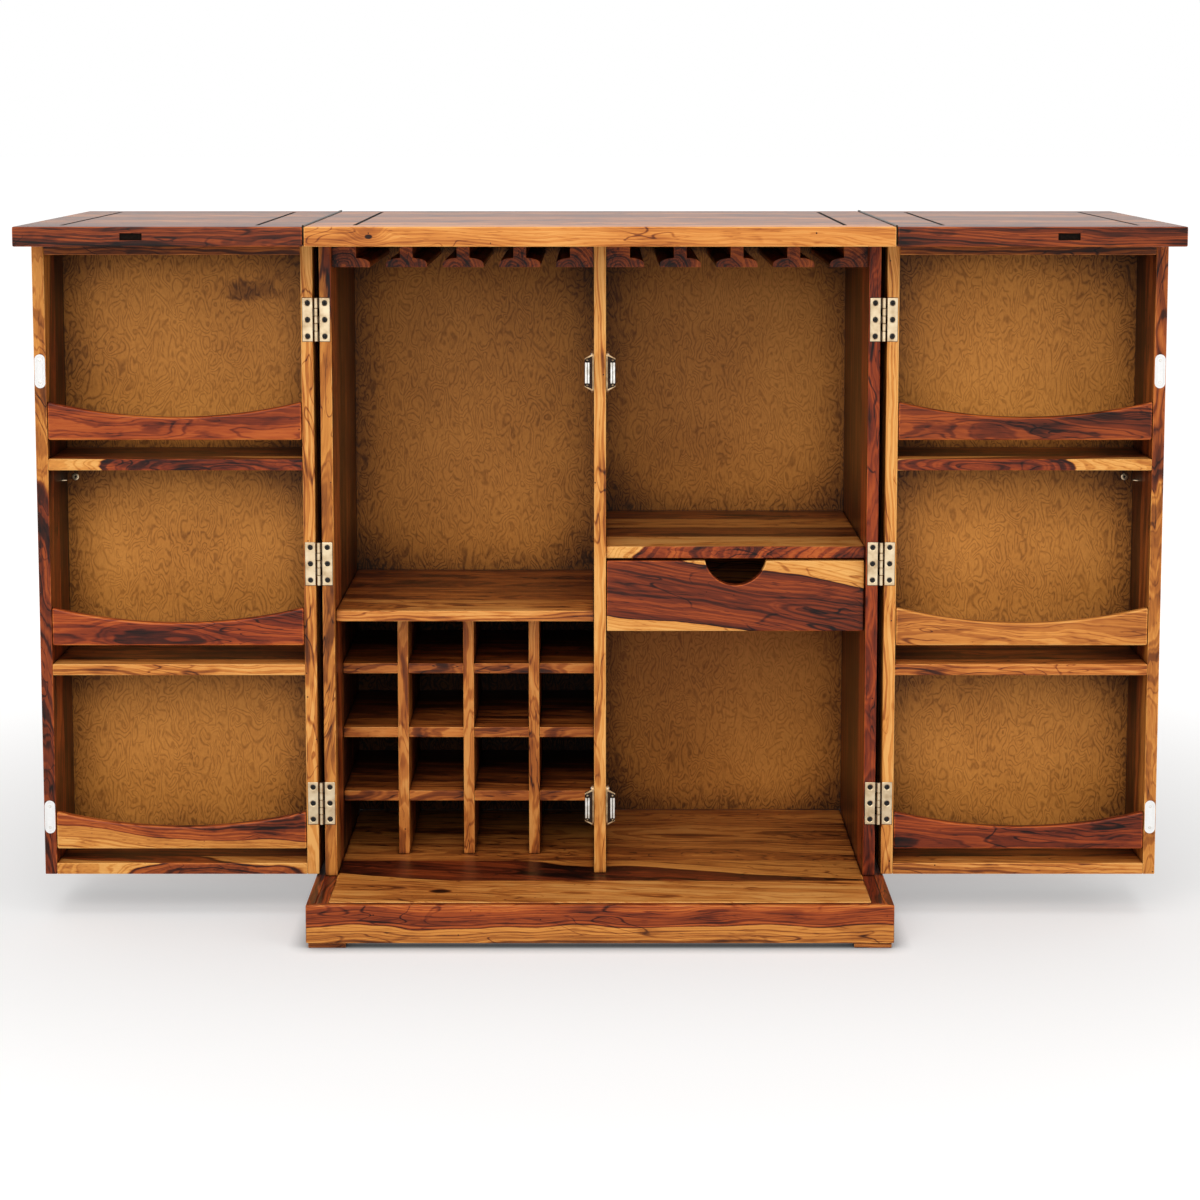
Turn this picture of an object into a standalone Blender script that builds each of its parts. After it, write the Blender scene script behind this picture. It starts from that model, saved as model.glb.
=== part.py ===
# Folding bar cabinet of solid rosewood: a carcass with a bottle rack, glass rails and a drawer,
# two box doors with glass shelves, and a top whose two wings fold over the middle.
# Metres, +Z up, front towards -Y. The origin is on the floor, under the middle of the open cabinet.
import math

import bmesh
import bpy
from mathutils import Matrix, Vector

# Driving sizes
TOP_WIDTH = 0.801
DEPTH = 0.560
HEIGHT = 1.000
TOP_THICK = 0.027
WING_WIDTH = 0.391
SEAM = 0.002

# Boards and panels
BOARD = 0.017
PLY = 0.006
SEAT = 0.0003
EASE = 0.0012

# Plinth, base and feet
FOOT_HEIGHT = 0.007
FOOT_SIZE = 0.052
FOOT_INSET = 0.003
PLINTH_HEIGHT = 0.054
PLINTH_SIDE_LIP = 0.013
PLINTH_END_LIP = 0.010
PLINTH_END_STRIP = 0.007
PLINTH_STEP = 0.001
BASE_THICK = 0.015
BASE_LEDGE = 0.010

# Carcass
CARCASS_SETBACK = 0.150
CARCASS_OVERHANG = 0.0055
CARCASS_REAR_INSET = 0.020
BACK_RECESS = 0.012
BACK_REBATE = 0.006
PARTITION_SETBACK = 0.012
SHELF_SETBACK = 0.019
LEFT_SHELF_TOP = 0.444
LEFT_SHELF_THICK = 0.0154
RIGHT_SHELF_TOP = 0.537
RIGHT_SHELF_THICK = 0.017

# Bottle rack
RACK_COLUMNS = 4
RACK_ROWS = 4
RACK_SETBACK = 0.114
RACK_UPRIGHT_THICK = 0.0155
RACK_SHELF_THICK = 0.015

# Glass rails under the top
STEM_SLOTS = 4
STEM_SLOT_WIDTH = 0.022
RAIL_LIP = 0.020
RAIL_HEIGHT = 0.037
RAIL_TIP = 0.005
RAIL_DOME = 0.013
RAIL_WEB = 0.018

# Drawer
DRAWER_FRONT_HEIGHT = 0.1017
DRAWER_FRONT_THICK = 0.017
DRAWER_SIDE_GAP = 0.0012
DRAWER_TOP_GAP = 0.0025
DRAWER_SIDE = 0.012
DRAWER_REAR_GAP = 0.0177
DRAWER_SIDE_DROP = 0.012
DRAWER_BOTTOM = 0.005
DRAWER_BOTTOM_RISE = 0.004
NOTCH_RADIUS = 0.0445
NOTCH_RISE = 0.009
RUNNER_HEIGHT = 0.014
RUNNER_BITE = 0.005
RUNNER_CLEAR = 0.0005
RUNNER_FRONT_INSET = 0.012

# Doors
DOOR_GAP = 0.002
DOOR_REVEAL = 0.002
DOOR_MEETING_GAP = 0.002
DOOR_FLOOR_GAP = 0.0018
DOOR_TOP_GAP = 0.003
DOOR_RAIL = 0.016
DOOR_LOWER_BAY = 0.275
DOOR_UPPER_BAY = 0.289
DOOR_SHELF_THICK = 0.016
DOOR_REBATE = 0.008
DOOR_PANEL_RECESS = 0.002
GUARD_THICK = 0.012
GUARD_END_HEIGHT = 0.055
GUARD_SAG = 0.022
GUARD_RISES = (0.021, 0.027, 0.027)
STRIKE_WIDTH = 0.0150
STRIKE_HEIGHT = 0.048
STRIKE_PROUD = 0.0008
STRIKE_ROOT = 0.001

# Door hinges
HINGE_BOTTOM_INSET = 0.104
HINGE_TOP_INSET = 0.107
HINGE_LENGTH = 0.062
HINGE_END_KNUCKLE = 0.015
HINGE_LEAF_WIDTH = 0.015
HINGE_LEAF_THICK = 0.0015
HINGE_SPREAD = 0.009
KNUCKLE_RADIUS = 0.0024
PIN_RADIUS = 0.0012
PIN_CLEAR = 0.0003
KNUCKLE_SIDES = 12

# Lid hinges, one long strip on each seam
LID_AXIS_RISE = 0.0005
LID_LEAF_THICK = 0.0005
LID_LEAF_HEIGHT = 0.020
LID_KNUCKLES = 10
LID_KNUCKLE_RADIUS = 0.0016
LID_PIN_RADIUS = 0.0007
LID_HINGE_INSET = 0.004

# Grooves in the top, and the blind slots in the front edge of each wing
GROOVE_WIDTH = 0.004
GROOVE_DEEP = 0.0025
GROOVE_END = 0.045
CENTRE_GROOVE_INSET = 0.065
WING_GROOVE_INNER = 0.0665
WING_GROOVE_OUTER = 0.0585
WING_SLOT_INSET = 0.160
WING_SLOT_WIDTH = 0.030
WING_SLOT_HEIGHT = 0.0097
WING_SLOT_DEEP = 0.020

# Magnetic catches on the partition, and the plates that they hold on the doors
CATCH_BOTTOM_INSET = 0.0985
CATCH_TOP_INSET = 0.1855
STRIKE_LOWER_DROP = 0.0125
STRIKE_UPPER_RISE = 0.0025
CATCH_PLATE_HEIGHT = 0.059
CATCH_PLATE_DEPTH = 0.014
CATCH_PLATE_THICK = 0.0015
CATCH_BODY_HEIGHT = 0.040
CATCH_BODY_WIDTH = 0.013
CATCH_BODY_BACK = 0.010
POLE_HEIGHT = 0.030
POLE_THICK = 0.0025
POLE_PROUD = 0.003

# Planes that the pieces share
FRONT = -DEPTH / 2
REAR = DEPTH / 2
TOP_UNDER = HEIGHT - TOP_THICK
LID_AXIS_X = TOP_WIDTH / 2
LID_AXIS_Z = HEIGHT + LID_AXIS_RISE
CENTRE_HALF = LID_AXIS_X - SEAM / 2
WING_INNER = LID_AXIS_X + SEAM / 2
WING_OUTER = WING_INNER + WING_WIDTH
PLINTH_TOP = FOOT_HEIGHT + SEAT + PLINTH_HEIGHT
STRIP_TOP = PLINTH_TOP - PLINTH_STEP
CARCASS_HALF = LID_AXIS_X - CARCASS_OVERHANG
CARCASS_INNER = CARCASS_HALF - BOARD
PLINTH_HALF = CARCASS_HALF + PLINTH_SIDE_LIP
CARCASS_FRONT = FRONT + CARCASS_SETBACK
CARCASS_REAR = REAR - CARCASS_REAR_INSET
BACK_REAR = CARCASS_REAR - BACK_RECESS
BACK_FRONT = BACK_REAR - PLY
PARTITION_HALF = BOARD / 2
PARTITION_FRONT = CARCASS_FRONT + PARTITION_SETBACK
SHELF_FRONT = CARCASS_FRONT + SHELF_SETBACK
RACK_FRONT = CARCASS_FRONT + RACK_SETBACK
BAY_WIDTH = CARCASS_INNER - PARTITION_HALF
LEFT_SHELF_UNDER = LEFT_SHELF_TOP - LEFT_SHELF_THICK
RIGHT_SHELF_UNDER = RIGHT_SHELF_TOP - RIGHT_SHELF_THICK
HINGE_AXIS_X = CARCASS_HALF + HINGE_SPREAD / 2
HINGE_AXIS_Y = CARCASS_FRONT - DOOR_GAP / 2
DOOR_INNER = HINGE_AXIS_X + HINGE_SPREAD / 2
DOOR_OUTER = DOOR_INNER + CARCASS_HALF - DOOR_MEETING_GAP / 2
DOOR_FRONT = CARCASS_FRONT
DOOR_REAR = DOOR_FRONT + CARCASS_SETBACK - DOOR_GAP - DOOR_REVEAL
DOOR_BOTTOM = PLINTH_TOP + DOOR_FLOOR_GAP
DOOR_TOP = TOP_UNDER - DOOR_TOP_GAP
DOOR_LOWER_SHELF_TOP = DOOR_BOTTOM + DOOR_RAIL + DOOR_LOWER_BAY + DOOR_SHELF_THICK
DOOR_UPPER_SHELF_TOP = DOOR_TOP - DOOR_RAIL - DOOR_UPPER_BAY
DOOR_BAY_FLOORS = (DOOR_BOTTOM + DOOR_RAIL, DOOR_LOWER_SHELF_TOP, DOOR_UPPER_SHELF_TOP)
DOOR_BAY_CEILINGS = (
    DOOR_LOWER_SHELF_TOP - DOOR_SHELF_THICK,
    DOOR_UPPER_SHELF_TOP - DOOR_SHELF_THICK,
    DOOR_TOP - DOOR_RAIL,
)
HINGE_LOW = DOOR_BOTTOM + HINGE_BOTTOM_INSET
HINGE_HIGH = DOOR_TOP - HINGE_TOP_INSET
HINGE_HEIGHTS = (HINGE_LOW, (HINGE_LOW + HINGE_HIGH) / 2, HINGE_HIGH)
CATCH_HEIGHTS = (PLINTH_TOP + CATCH_BOTTOM_INSET, TOP_UNDER - CATCH_TOP_INSET)
STRIKE_HEIGHTS = (CATCH_HEIGHTS[0] - STRIKE_LOWER_DROP, CATCH_HEIGHTS[1] + STRIKE_UPPER_RISE)
DOOR_PANEL_REAR = DOOR_REAR - DOOR_PANEL_RECESS
DOOR_PANEL_FRONT = DOOR_PANEL_REAR - PLY
DRAWER_FRONT_TOP = RIGHT_SHELF_UNDER - DRAWER_TOP_GAP
DRAWER_FRONT_UNDER = DRAWER_FRONT_TOP - DRAWER_FRONT_HEIGHT
DRAWER_BOTTOM_UNDER = DRAWER_FRONT_UNDER + DRAWER_BOTTOM_RISE
DRAWER_BOX_UNDER = DRAWER_BOTTOM_UNDER + DRAWER_BOTTOM + SEAT
DRAWER_BOX_TOP = DRAWER_FRONT_TOP - DRAWER_SIDE_DROP
DRAWER_BOX_FRONT = PARTITION_FRONT + DRAWER_FRONT_THICK + SEAT
DRAWER_BOX_REAR = BACK_FRONT - DRAWER_REAR_GAP
DRAWER_BOX_LEFT = PARTITION_HALF + DRAWER_SIDE_GAP
DRAWER_BOX_RIGHT = CARCASS_INNER - DRAWER_SIDE_GAP
RUNNER_MIDDLE = (DRAWER_BOX_UNDER + DRAWER_BOX_TOP) / 2


# Materials
def material(name, colour, roughness, metallic=0.0):
    finish = bpy.data.materials.new(name)
    finish.use_nodes = True
    shader = finish.node_tree.nodes["Principled BSDF"]
    shader.inputs["Base Color"].default_value = (*colour, 1.0)
    shader.inputs["Roughness"].default_value = roughness
    shader.inputs["Metallic"].default_value = metallic
    finish.diffuse_color = (*colour, 1.0)
    return finish


# Shapes
def new_piece(name, mesh_data, origin):
    """One closed shape as an object whose origin is at the given point."""
    bmesh.ops.recalc_face_normals(mesh_data, faces=mesh_data.faces)
    bmesh.ops.translate(mesh_data, verts=mesh_data.verts, vec=-Vector(origin))
    mesh = bpy.data.meshes.new(name)
    mesh_data.to_mesh(mesh)
    mesh_data.free()
    piece = bpy.data.objects.new(name, mesh)
    piece.location = origin
    bpy.context.scene.collection.objects.link(piece)
    return piece


def block(name, x, y, z):
    """A squared board between the two limits given for each axis."""
    spans = [sorted(x), sorted(y), sorted(z)]
    size = [high - low for low, high in spans]
    middle = [(low + high) / 2 for low, high in spans]
    mesh_data = bmesh.new()
    place = Matrix.Translation(middle) @ Matrix.Diagonal((*size, 1.0))
    bmesh.ops.create_cube(mesh_data, size=1.0, matrix=place)
    return new_piece(name, mesh_data, middle)


def prism(name, outline, axis, start, end):
    """An outline in the plane across the axis, extruded along it. Its points are given in X, Y, Z order."""
    mesh_data = bmesh.new()
    points = []
    for corner in outline:
        at = list(corner)
        at.insert("XYZ".index(axis), start)
        points.append(mesh_data.verts.new(at))
    face = mesh_data.faces.new(points)
    travel = Vector([end - start if letter == axis else 0.0 for letter in "XYZ"])
    grown = bmesh.ops.extrude_face_region(mesh_data, geom=[face])
    moved = [item for item in grown["geom"] if isinstance(item, bmesh.types.BMVert)]
    bmesh.ops.translate(mesh_data, verts=moved, vec=travel)
    lows = [min(vert.co[i] for vert in mesh_data.verts) for i in range(3)]
    highs = [max(vert.co[i] for vert in mesh_data.verts) for i in range(3)]
    return new_piece(name, mesh_data, [(low + high) / 2 for low, high in zip(lows, highs)])


def turned(name, profile, axis, centre, sides, hollow=False):
    """A profile of (radius, place along the axis) turned round the axis. A hollow one joins up its last
    point with its first, and any other has a cap at each end."""
    mesh_data = bmesh.new()
    rings = []
    for radius, place in profile:
        ring = []
        for step in range(sides):
            angle = 2 * math.pi * (step + 0.5) / sides
            at = [radius * math.cos(angle), radius * math.sin(angle)]
            at.insert("XYZ".index(axis), place)
            ring.append(mesh_data.verts.new(Vector(centre) + Vector(at)))
        rings.append(ring)
    pairs = list(zip(rings, rings[1:]))
    if hollow:
        pairs.append((rings[-1], rings[0]))
    for near, far in pairs:
        for step in range(sides):
            after = (step + 1) % sides
            mesh_data.faces.new((near[step], near[after], far[after], far[step]))
    if not hollow:
        mesh_data.faces.new(rings[0])
        mesh_data.faces.new(rings[-1])
    return new_piece(name, mesh_data, centre)


def bake(piece):
    """Replaces a piece's mesh by what its modifiers make of it."""
    bpy.context.view_layer.update()
    seen = piece.evaluated_get(bpy.context.evaluated_depsgraph_get())
    mesh = bpy.data.meshes.new_from_object(seen)
    mesh.name = piece.name
    piece.modifiers.clear()
    piece.data = mesh


def ease_edges(piece, width=EASE):
    """Planes a narrow flat along each edge of a piece."""
    bevel = piece.modifiers.new("eased edges", "BEVEL")
    bevel.width = width
    bevel.segments = 1
    bevel.limit_method = "ANGLE"
    bevel.angle_limit = math.radians(40)
    bake(piece)
    return piece


def combine(piece, tools, operation):
    """Joins the tools to a piece, or cuts them from it, one after another."""
    for tool in tools:
        boolean = piece.modifiers.new("shape", "BOOLEAN")
        boolean.object = tool
        boolean.operation = operation
        boolean.solver = "EXACT"
        bake(piece)
        bpy.data.objects.remove(tool)
    return piece


def cut(piece, *tools):
    return combine(piece, tools, "DIFFERENCE")


def fuse(piece, *tools):
    return combine(piece, tools, "UNION")


def arc(centre, radius, first, last, steps):
    """Points along an arc, the angles in degrees."""
    points = []
    for step in range(steps + 1):
        angle = math.radians(first + (last - first) * step / steps)
        points.append((centre[0] + radius * math.cos(angle), centre[1] + radius * math.sin(angle)))
    return points


def mirrored(outline, side):
    return [(side * x, y) for x, y in outline]


# Plinth, base board and feet
def plinth_frame():
    """Four mitred boards. Their inner side steps down round the carcass, then holds the base board."""
    low = FOOT_HEIGHT + SEAT
    inner = PLINTH_HALF - CARCASS_INNER
    end_strip = PLINTH_END_LIP + PLINTH_END_STRIP
    pocket = PLINTH_TOP - BASE_THICK - SEAT
    profile = (
        (0.0, 0.0, low),
        (0.0, 0.0, PLINTH_TOP),
        (PLINTH_SIDE_LIP, PLINTH_END_LIP, PLINTH_TOP),
        (PLINTH_SIDE_LIP, PLINTH_END_LIP, STRIP_TOP),
        (inner, end_strip, STRIP_TOP),
        (inner, end_strip, pocket),
        (inner + BASE_LEDGE, end_strip + BASE_LEDGE, pocket),
        (inner + BASE_LEDGE, end_strip + BASE_LEDGE, low),
    )
    mesh_data = bmesh.new()
    rings = []
    for inset_x, inset_y, z in profile:
        x = PLINTH_HALF - inset_x
        y = REAR - inset_y
        corners = ((-x, -y, z), (x, -y, z), (x, y, z), (-x, y, z))
        rings.append([mesh_data.verts.new(corner) for corner in corners])
    for near, far in zip(rings, rings[1:] + rings[:1]):
        for corner in range(4):
            after = (corner + 1) % 4
            mesh_data.faces.new((near[corner], near[after], far[after], far[corner]))
    return new_piece("plinth_frame", mesh_data, (0.0, 0.0, low))


def base_board():
    x = CARCASS_INNER - SEAT
    y = REAR - PLINTH_END_LIP - PLINTH_END_STRIP - SEAT
    board = block("base_board", (-x, x), (-y, y), (PLINTH_TOP - BASE_THICK, PLINTH_TOP))
    return ease_edges(board)


def foot(name, side, end):
    x = side * (PLINTH_HALF - FOOT_INSET)
    y = end * (REAR - FOOT_INSET)
    board = block(name, (x, x - side * FOOT_SIZE), (y, y - end * FOOT_SIZE), (0.0, FOOT_HEIGHT))
    return ease_edges(board)


# Glass rails: boards of T section, and half boards against the walls
def rail_flank(web_half, lip_half):
    """The domed upper side of a rail's lip, from its tip to the web."""
    points = []
    steps = 3
    for step in range(steps + 1):
        angle = math.pi / 2 * step / steps
        x = web_half + (lip_half - web_half) * math.cos(angle)
        z = RAIL_TIP + (RAIL_DOME - RAIL_TIP) * math.sin(angle)
        points.append((x, z))
    return points


RAIL_TOP = TOP_UNDER - SEAT
RAIL_UNDER = RAIL_TOP - RAIL_HEIGHT
RAIL_PITCH = RAIL_WEB + 2 * RAIL_LIP + STEM_SLOT_WIDTH
HALF_RAIL = (BAY_WIDTH - STEM_SLOTS * RAIL_PITCH + RAIL_WEB + 2 * RAIL_LIP) / 2


def stem_rail(name, middle):
    half = RAIL_WEB / 2
    flank = [(x, RAIL_UNDER + z) for x, z in rail_flank(half, half + RAIL_LIP)]
    right = [(half + RAIL_LIP, RAIL_UNDER)] + flank + [(half, RAIL_TOP)]
    left = [(-x, z) for x, z in reversed(right)]
    outline = [(middle + x, z) for x, z in right + left]
    return prism(name, outline, "Y", SHELF_FRONT, BACK_FRONT - SEAT)


def half_rail(wall, into, rear):
    """The half board against a wall, from inside the wall's face to the first slot."""
    root = -BOARD / 4
    flank = [(x, RAIL_UNDER + z) for x, z in rail_flank(HALF_RAIL - RAIL_LIP, HALF_RAIL)]
    outline = [(root, RAIL_UNDER), (HALF_RAIL, RAIL_UNDER)] + flank
    outline += [(HALF_RAIL - RAIL_LIP, RAIL_TOP), (root, RAIL_TOP)]
    outline = [(wall + into * x, z) for x, z in outline]
    return prism("half rail", outline, "Y", SHELF_FRONT, rear)


# Drawer runner, a strip on the wall of the drawer's bay
def runner(wall, into):
    reach = DRAWER_SIDE_GAP + RUNNER_BITE
    x = (wall - into * BOARD / 4, wall + into * reach)
    y = (DRAWER_BOX_FRONT + RUNNER_FRONT_INSET, DRAWER_BOX_REAR)
    z = (RUNNER_MIDDLE - RUNNER_HEIGHT / 2, RUNNER_MIDDLE + RUNNER_HEIGHT / 2)
    return block("runner", x, y, z)


# Door hinges
def leaf_pocket(corner, into, height):
    """The recess that a hinge leaf lies in, from a board's corner inwards."""
    clear = HINGE_LEAF_THICK
    x = (corner - into * clear, corner + into * (HINGE_LEAF_WIDTH + SEAT))
    y = (CARCASS_FRONT - clear, CARCASS_FRONT + HINGE_LEAF_THICK + SEAT)
    reach = HINGE_LENGTH / 2 + SEAT
    return block("pocket", x, y, (height - reach, height + reach))


def knuckle_spans(height):
    """Five knuckles, the end ones longer, with a gap between each and the next."""
    inner = (HINGE_LENGTH - 2 * HINGE_END_KNUCKLE) / 3
    lengths = (HINGE_END_KNUCKLE, inner, inner, inner, HINGE_END_KNUCKLE)
    spans = []
    low = height - HINGE_LENGTH / 2
    for length in lengths:
        spans.append((low + SEAT / 2, low + length - SEAT / 2))
        low += length
    return spans


def hinge_plate(name, side, wing, height, tabs):
    """A leaf's plate in the board's edge, with a tab to each of its own knuckles. wing is 1 for the door's
    leaf and -1 for the carcass's."""
    near = KNUCKLE_RADIUS + SEAT
    far = HINGE_SPREAD / 2 + HINGE_LEAF_WIDTH
    root = (KNUCKLE_RADIUS + PIN_RADIUS + PIN_CLEAR) / 2
    low = height - HINGE_LENGTH / 2
    high = height + HINGE_LENGTH / 2
    edge = [(far, low), (near, low)]
    for start, end in tabs:
        edge += [(near, start), (root, start), (root, end), (near, end)]
    edge += [(near, high), (far, high)]
    outline = []
    for x, z in edge:
        point = (side * (HINGE_AXIS_X + wing * x), z)
        if not outline or (Vector(point) - Vector(outline[-1])).length > SEAT / 2:
            outline.append(point)
    return prism(name, outline, "Y", CARCASS_FRONT, CARCASS_FRONT + HINGE_LEAF_THICK)


def carcass_leaf(name, side, height):
    """The leaf on the carcass: three knuckles, and the pin that the door's knuckles turn on."""
    spans = knuckle_spans(height)
    profile = []
    for index, (low, high) in enumerate(spans):
        if index % 2 == 0:
            profile += [(KNUCKLE_RADIUS, low - height), (KNUCKLE_RADIUS, high - height)]
        else:
            profile += [(PIN_RADIUS, low - SEAT - height), (PIN_RADIUS, high + SEAT - height)]
    centre = (side * HINGE_AXIS_X, HINGE_AXIS_Y, height)
    barrel = turned("barrel", profile, "Z", centre, KNUCKLE_SIDES)
    plate = hinge_plate(name, side, -1, height, spans[0::2])
    return fuse(plate, barrel)


def door_leaf(name, side, height):
    """The leaf on the door: two knuckles, bored for the pin."""
    spans = knuckle_spans(height)[1::2]
    plate = hinge_plate(name, side, 1, height, spans)
    bore = PIN_RADIUS + PIN_CLEAR
    centre = (side * HINGE_AXIS_X, HINGE_AXIS_Y, height)
    for low, high in spans:
        a = low - height
        b = high - height
        profile = [(KNUCKLE_RADIUS, a), (KNUCKLE_RADIUS, b), (bore, b), (bore, a)]
        plate = fuse(plate, turned("knuckle", profile, "Z", centre, KNUCKLE_SIDES, hollow=True))
    return plate


# Carcass
def side_board(name, side):
    """A side: rebated for the back, cut for three hinge leaves, with the first half rail at its top."""
    x = (side * CARCASS_INNER, side * CARCASS_HALF)
    z = (STRIP_TOP + SEAT, TOP_UNDER - SEAT)
    board = ease_edges(block(name, x, (CARCASS_FRONT, CARCASS_REAR), z))
    x = (side * (CARCASS_INNER - BACK_REBATE), side * (CARCASS_INNER + BACK_REBATE))
    y = (BACK_FRONT - SEAT, CARCASS_REAR + BACK_REBATE)
    board = cut(board, block("rebate", x, y, (0.0, HEIGHT)))
    board = fuse(board, half_rail(side * CARCASS_INNER, -side, BACK_FRONT - SEAT))
    return cut(board, *[leaf_pocket(side * CARCASS_HALF, -side, height) for height in HINGE_HEIGHTS])


def right_side():
    return fuse(side_board("right_side", 1), runner(CARCASS_INNER, -1))


def partition():
    x = (-PARTITION_HALF, PARTITION_HALF)
    board = block("partition", x, (PARTITION_FRONT, BACK_FRONT - SEAT), (PLINTH_TOP + SEAT, TOP_UNDER - SEAT))
    ease_edges(board)
    for into in (-1, 1):
        board = fuse(board, half_rail(into * PARTITION_HALF, into, BACK_FRONT - SEAT))
    return fuse(board, runner(PARTITION_HALF, 1))


def back_panel():
    x = CARCASS_INNER + BACK_REBATE - SEAT
    return block("back_panel", (-x, x), (BACK_FRONT, BACK_REAR), (PLINTH_TOP + SEAT, TOP_UNDER - SEAT))


def shelf(name, side, under, top):
    x = (side * (PARTITION_HALF + SEAT), side * (CARCASS_INNER - SEAT))
    return ease_edges(block(name, x, (SHELF_FRONT, BACK_FRONT - SEAT), (under, top)))


# Bottle rack: uprights and shelves halved into each other
RACK_LOW = PLINTH_TOP
RACK_HIGH = LEFT_SHELF_UNDER
RACK_REAR = BACK_FRONT - SEAT
RACK_HALF_DEPTH = (RACK_FRONT + RACK_REAR) / 2
CELL_WIDTH = (BAY_WIDTH - (RACK_COLUMNS - 1) * RACK_UPRIGHT_THICK) / RACK_COLUMNS
CELL_HEIGHT = (RACK_HIGH - RACK_LOW - (RACK_ROWS - 1) * RACK_SHELF_THICK) / RACK_ROWS


def halving(slots, thickness, open_end, deep_end, low, high, closed_end):
    """A rack board's outline as (place along the board, depth), with a slot for each board it crosses."""
    outline = [(low, closed_end), (low, open_end)]
    for start in slots:
        a = start - SEAT
        b = start + thickness + SEAT
        outline += [(a, open_end), (a, deep_end), (b, deep_end), (b, open_end)]
    outline += [(high, open_end), (high, closed_end)]
    return outline


def rack_upright(name, column):
    """An upright: its front half is whole, and its rear half is slotted for the shelves."""
    left = -CARCASS_INNER + column * CELL_WIDTH + (column - 1) * RACK_UPRIGHT_THICK
    starts = [RACK_LOW + row * CELL_HEIGHT + (row - 1) * RACK_SHELF_THICK for row in range(1, RACK_ROWS)]
    low = RACK_LOW + SEAT
    high = RACK_HIGH - SEAT
    deep = RACK_HALF_DEPTH - SEAT / 2
    outline = halving(starts, RACK_SHELF_THICK, RACK_REAR, deep, low, high, RACK_FRONT)
    outline = [(depth, along) for along, depth in outline]
    return prism(name, outline, "X", left, left + RACK_UPRIGHT_THICK)


def rack_shelf(name, row):
    """A rack shelf: its rear half is whole, and its front half is slotted for the uprights."""
    low = RACK_LOW + row * CELL_HEIGHT + (row - 1) * RACK_SHELF_THICK
    starts = [
        -CARCASS_INNER + column * CELL_WIDTH + (column - 1) * RACK_UPRIGHT_THICK
        for column in range(1, RACK_COLUMNS)
    ]
    left = -CARCASS_INNER + SEAT
    right = -PARTITION_HALF - SEAT
    deep = RACK_HALF_DEPTH + SEAT / 2
    outline = halving(starts, RACK_UPRIGHT_THICK, RACK_FRONT, deep, left, right, RACK_REAR)
    return prism(name, outline, "Z", low, low + RACK_SHELF_THICK)


# Top, wings and their long hinges
def grooves(places):
    """A shallow groove across the top at each place, blind at both ends."""
    y = (FRONT + GROOVE_END, REAR - GROOVE_END)
    z = (HEIGHT - GROOVE_DEEP, HEIGHT + GROOVE_DEEP)
    return [block("groove", (x - GROOVE_WIDTH / 2, x + GROOVE_WIDTH / 2), y, z) for x in places]


def centre_top():
    board = block("centre_top", (-CENTRE_HALF, CENTRE_HALF), (FRONT, REAR), (TOP_UNDER, HEIGHT))
    ease_edges(board)
    groove = CENTRE_HALF - CENTRE_GROOVE_INSET
    return cut(board, *grooves((-groove, groove)))


def wing_top(name, side):
    board = block(name, (side * WING_INNER, side * WING_OUTER), (FRONT, REAR), (TOP_UNDER, HEIGHT))
    ease_edges(board)
    places = (side * (WING_INNER + WING_GROOVE_INNER), side * (WING_OUTER - WING_GROOVE_OUTER))
    board = cut(board, *grooves(places))
    x = side * (WING_OUTER - WING_SLOT_INSET)
    z = HEIGHT - TOP_THICK / 2
    slot = block(
        "slot",
        (x - WING_SLOT_WIDTH / 2, x + WING_SLOT_WIDTH / 2),
        (FRONT - WING_SLOT_DEEP, FRONT + WING_SLOT_DEEP),
        (z - WING_SLOT_HEIGHT / 2, z + WING_SLOT_HEIGHT / 2),
    )
    return cut(board, slot)


def lid_knuckle_spans():
    low = FRONT + LID_HINGE_INSET
    pitch = (DEPTH - 2 * LID_HINGE_INSET) / LID_KNUCKLES
    return [(low + i * pitch + SEAT / 2, low + (i + 1) * pitch - SEAT / 2) for i in range(LID_KNUCKLES)]


def lid_plate(name, side, wing, tabs):
    """A leaf along the seam, below the knuckles, with a tab up to each of its own. wing is 1 for the wing's
    leaf and -1 for the centre's."""
    near = LID_AXIS_Z - LID_KNUCKLE_RADIUS - SEAT
    root = LID_AXIS_Z - (LID_KNUCKLE_RADIUS + LID_PIN_RADIUS + PIN_CLEAR) / 2
    low = LID_AXIS_Z - LID_KNUCKLE_RADIUS - LID_LEAF_HEIGHT
    outline = [(REAR - LID_HINGE_INSET, low), (FRONT + LID_HINGE_INSET, low)]
    outline.append((FRONT + LID_HINGE_INSET, near))
    for start, end in tabs:
        outline += [(start, near), (start, root), (end, root), (end, near)]
    outline.append((REAR - LID_HINGE_INSET, near))
    outer = side * (LID_AXIS_X + wing * (SEAM / 2 - SEAT))
    inner = side * (LID_AXIS_X + wing * (SEAM / 2 - SEAT - LID_LEAF_THICK))
    return prism(name, outline, "X", outer, inner)


def lid_centre_leaf(name, side):
    """The leaf on the middle of the top, with the pin."""
    spans = lid_knuckle_spans()
    profile = []
    for index, (low, high) in enumerate(spans):
        if index % 2 == 0:
            profile += [(LID_KNUCKLE_RADIUS, low), (LID_KNUCKLE_RADIUS, high)]
        else:
            last = SEAT if index < len(spans) - 1 else 0.0
            profile += [(LID_PIN_RADIUS, low - SEAT), (LID_PIN_RADIUS, high + last)]
    centre = (side * LID_AXIS_X, 0.0, LID_AXIS_Z)
    barrel = turned("barrel", profile, "Y", centre, KNUCKLE_SIDES)
    return fuse(lid_plate(name, side, -1, spans[0::2]), barrel)


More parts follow.
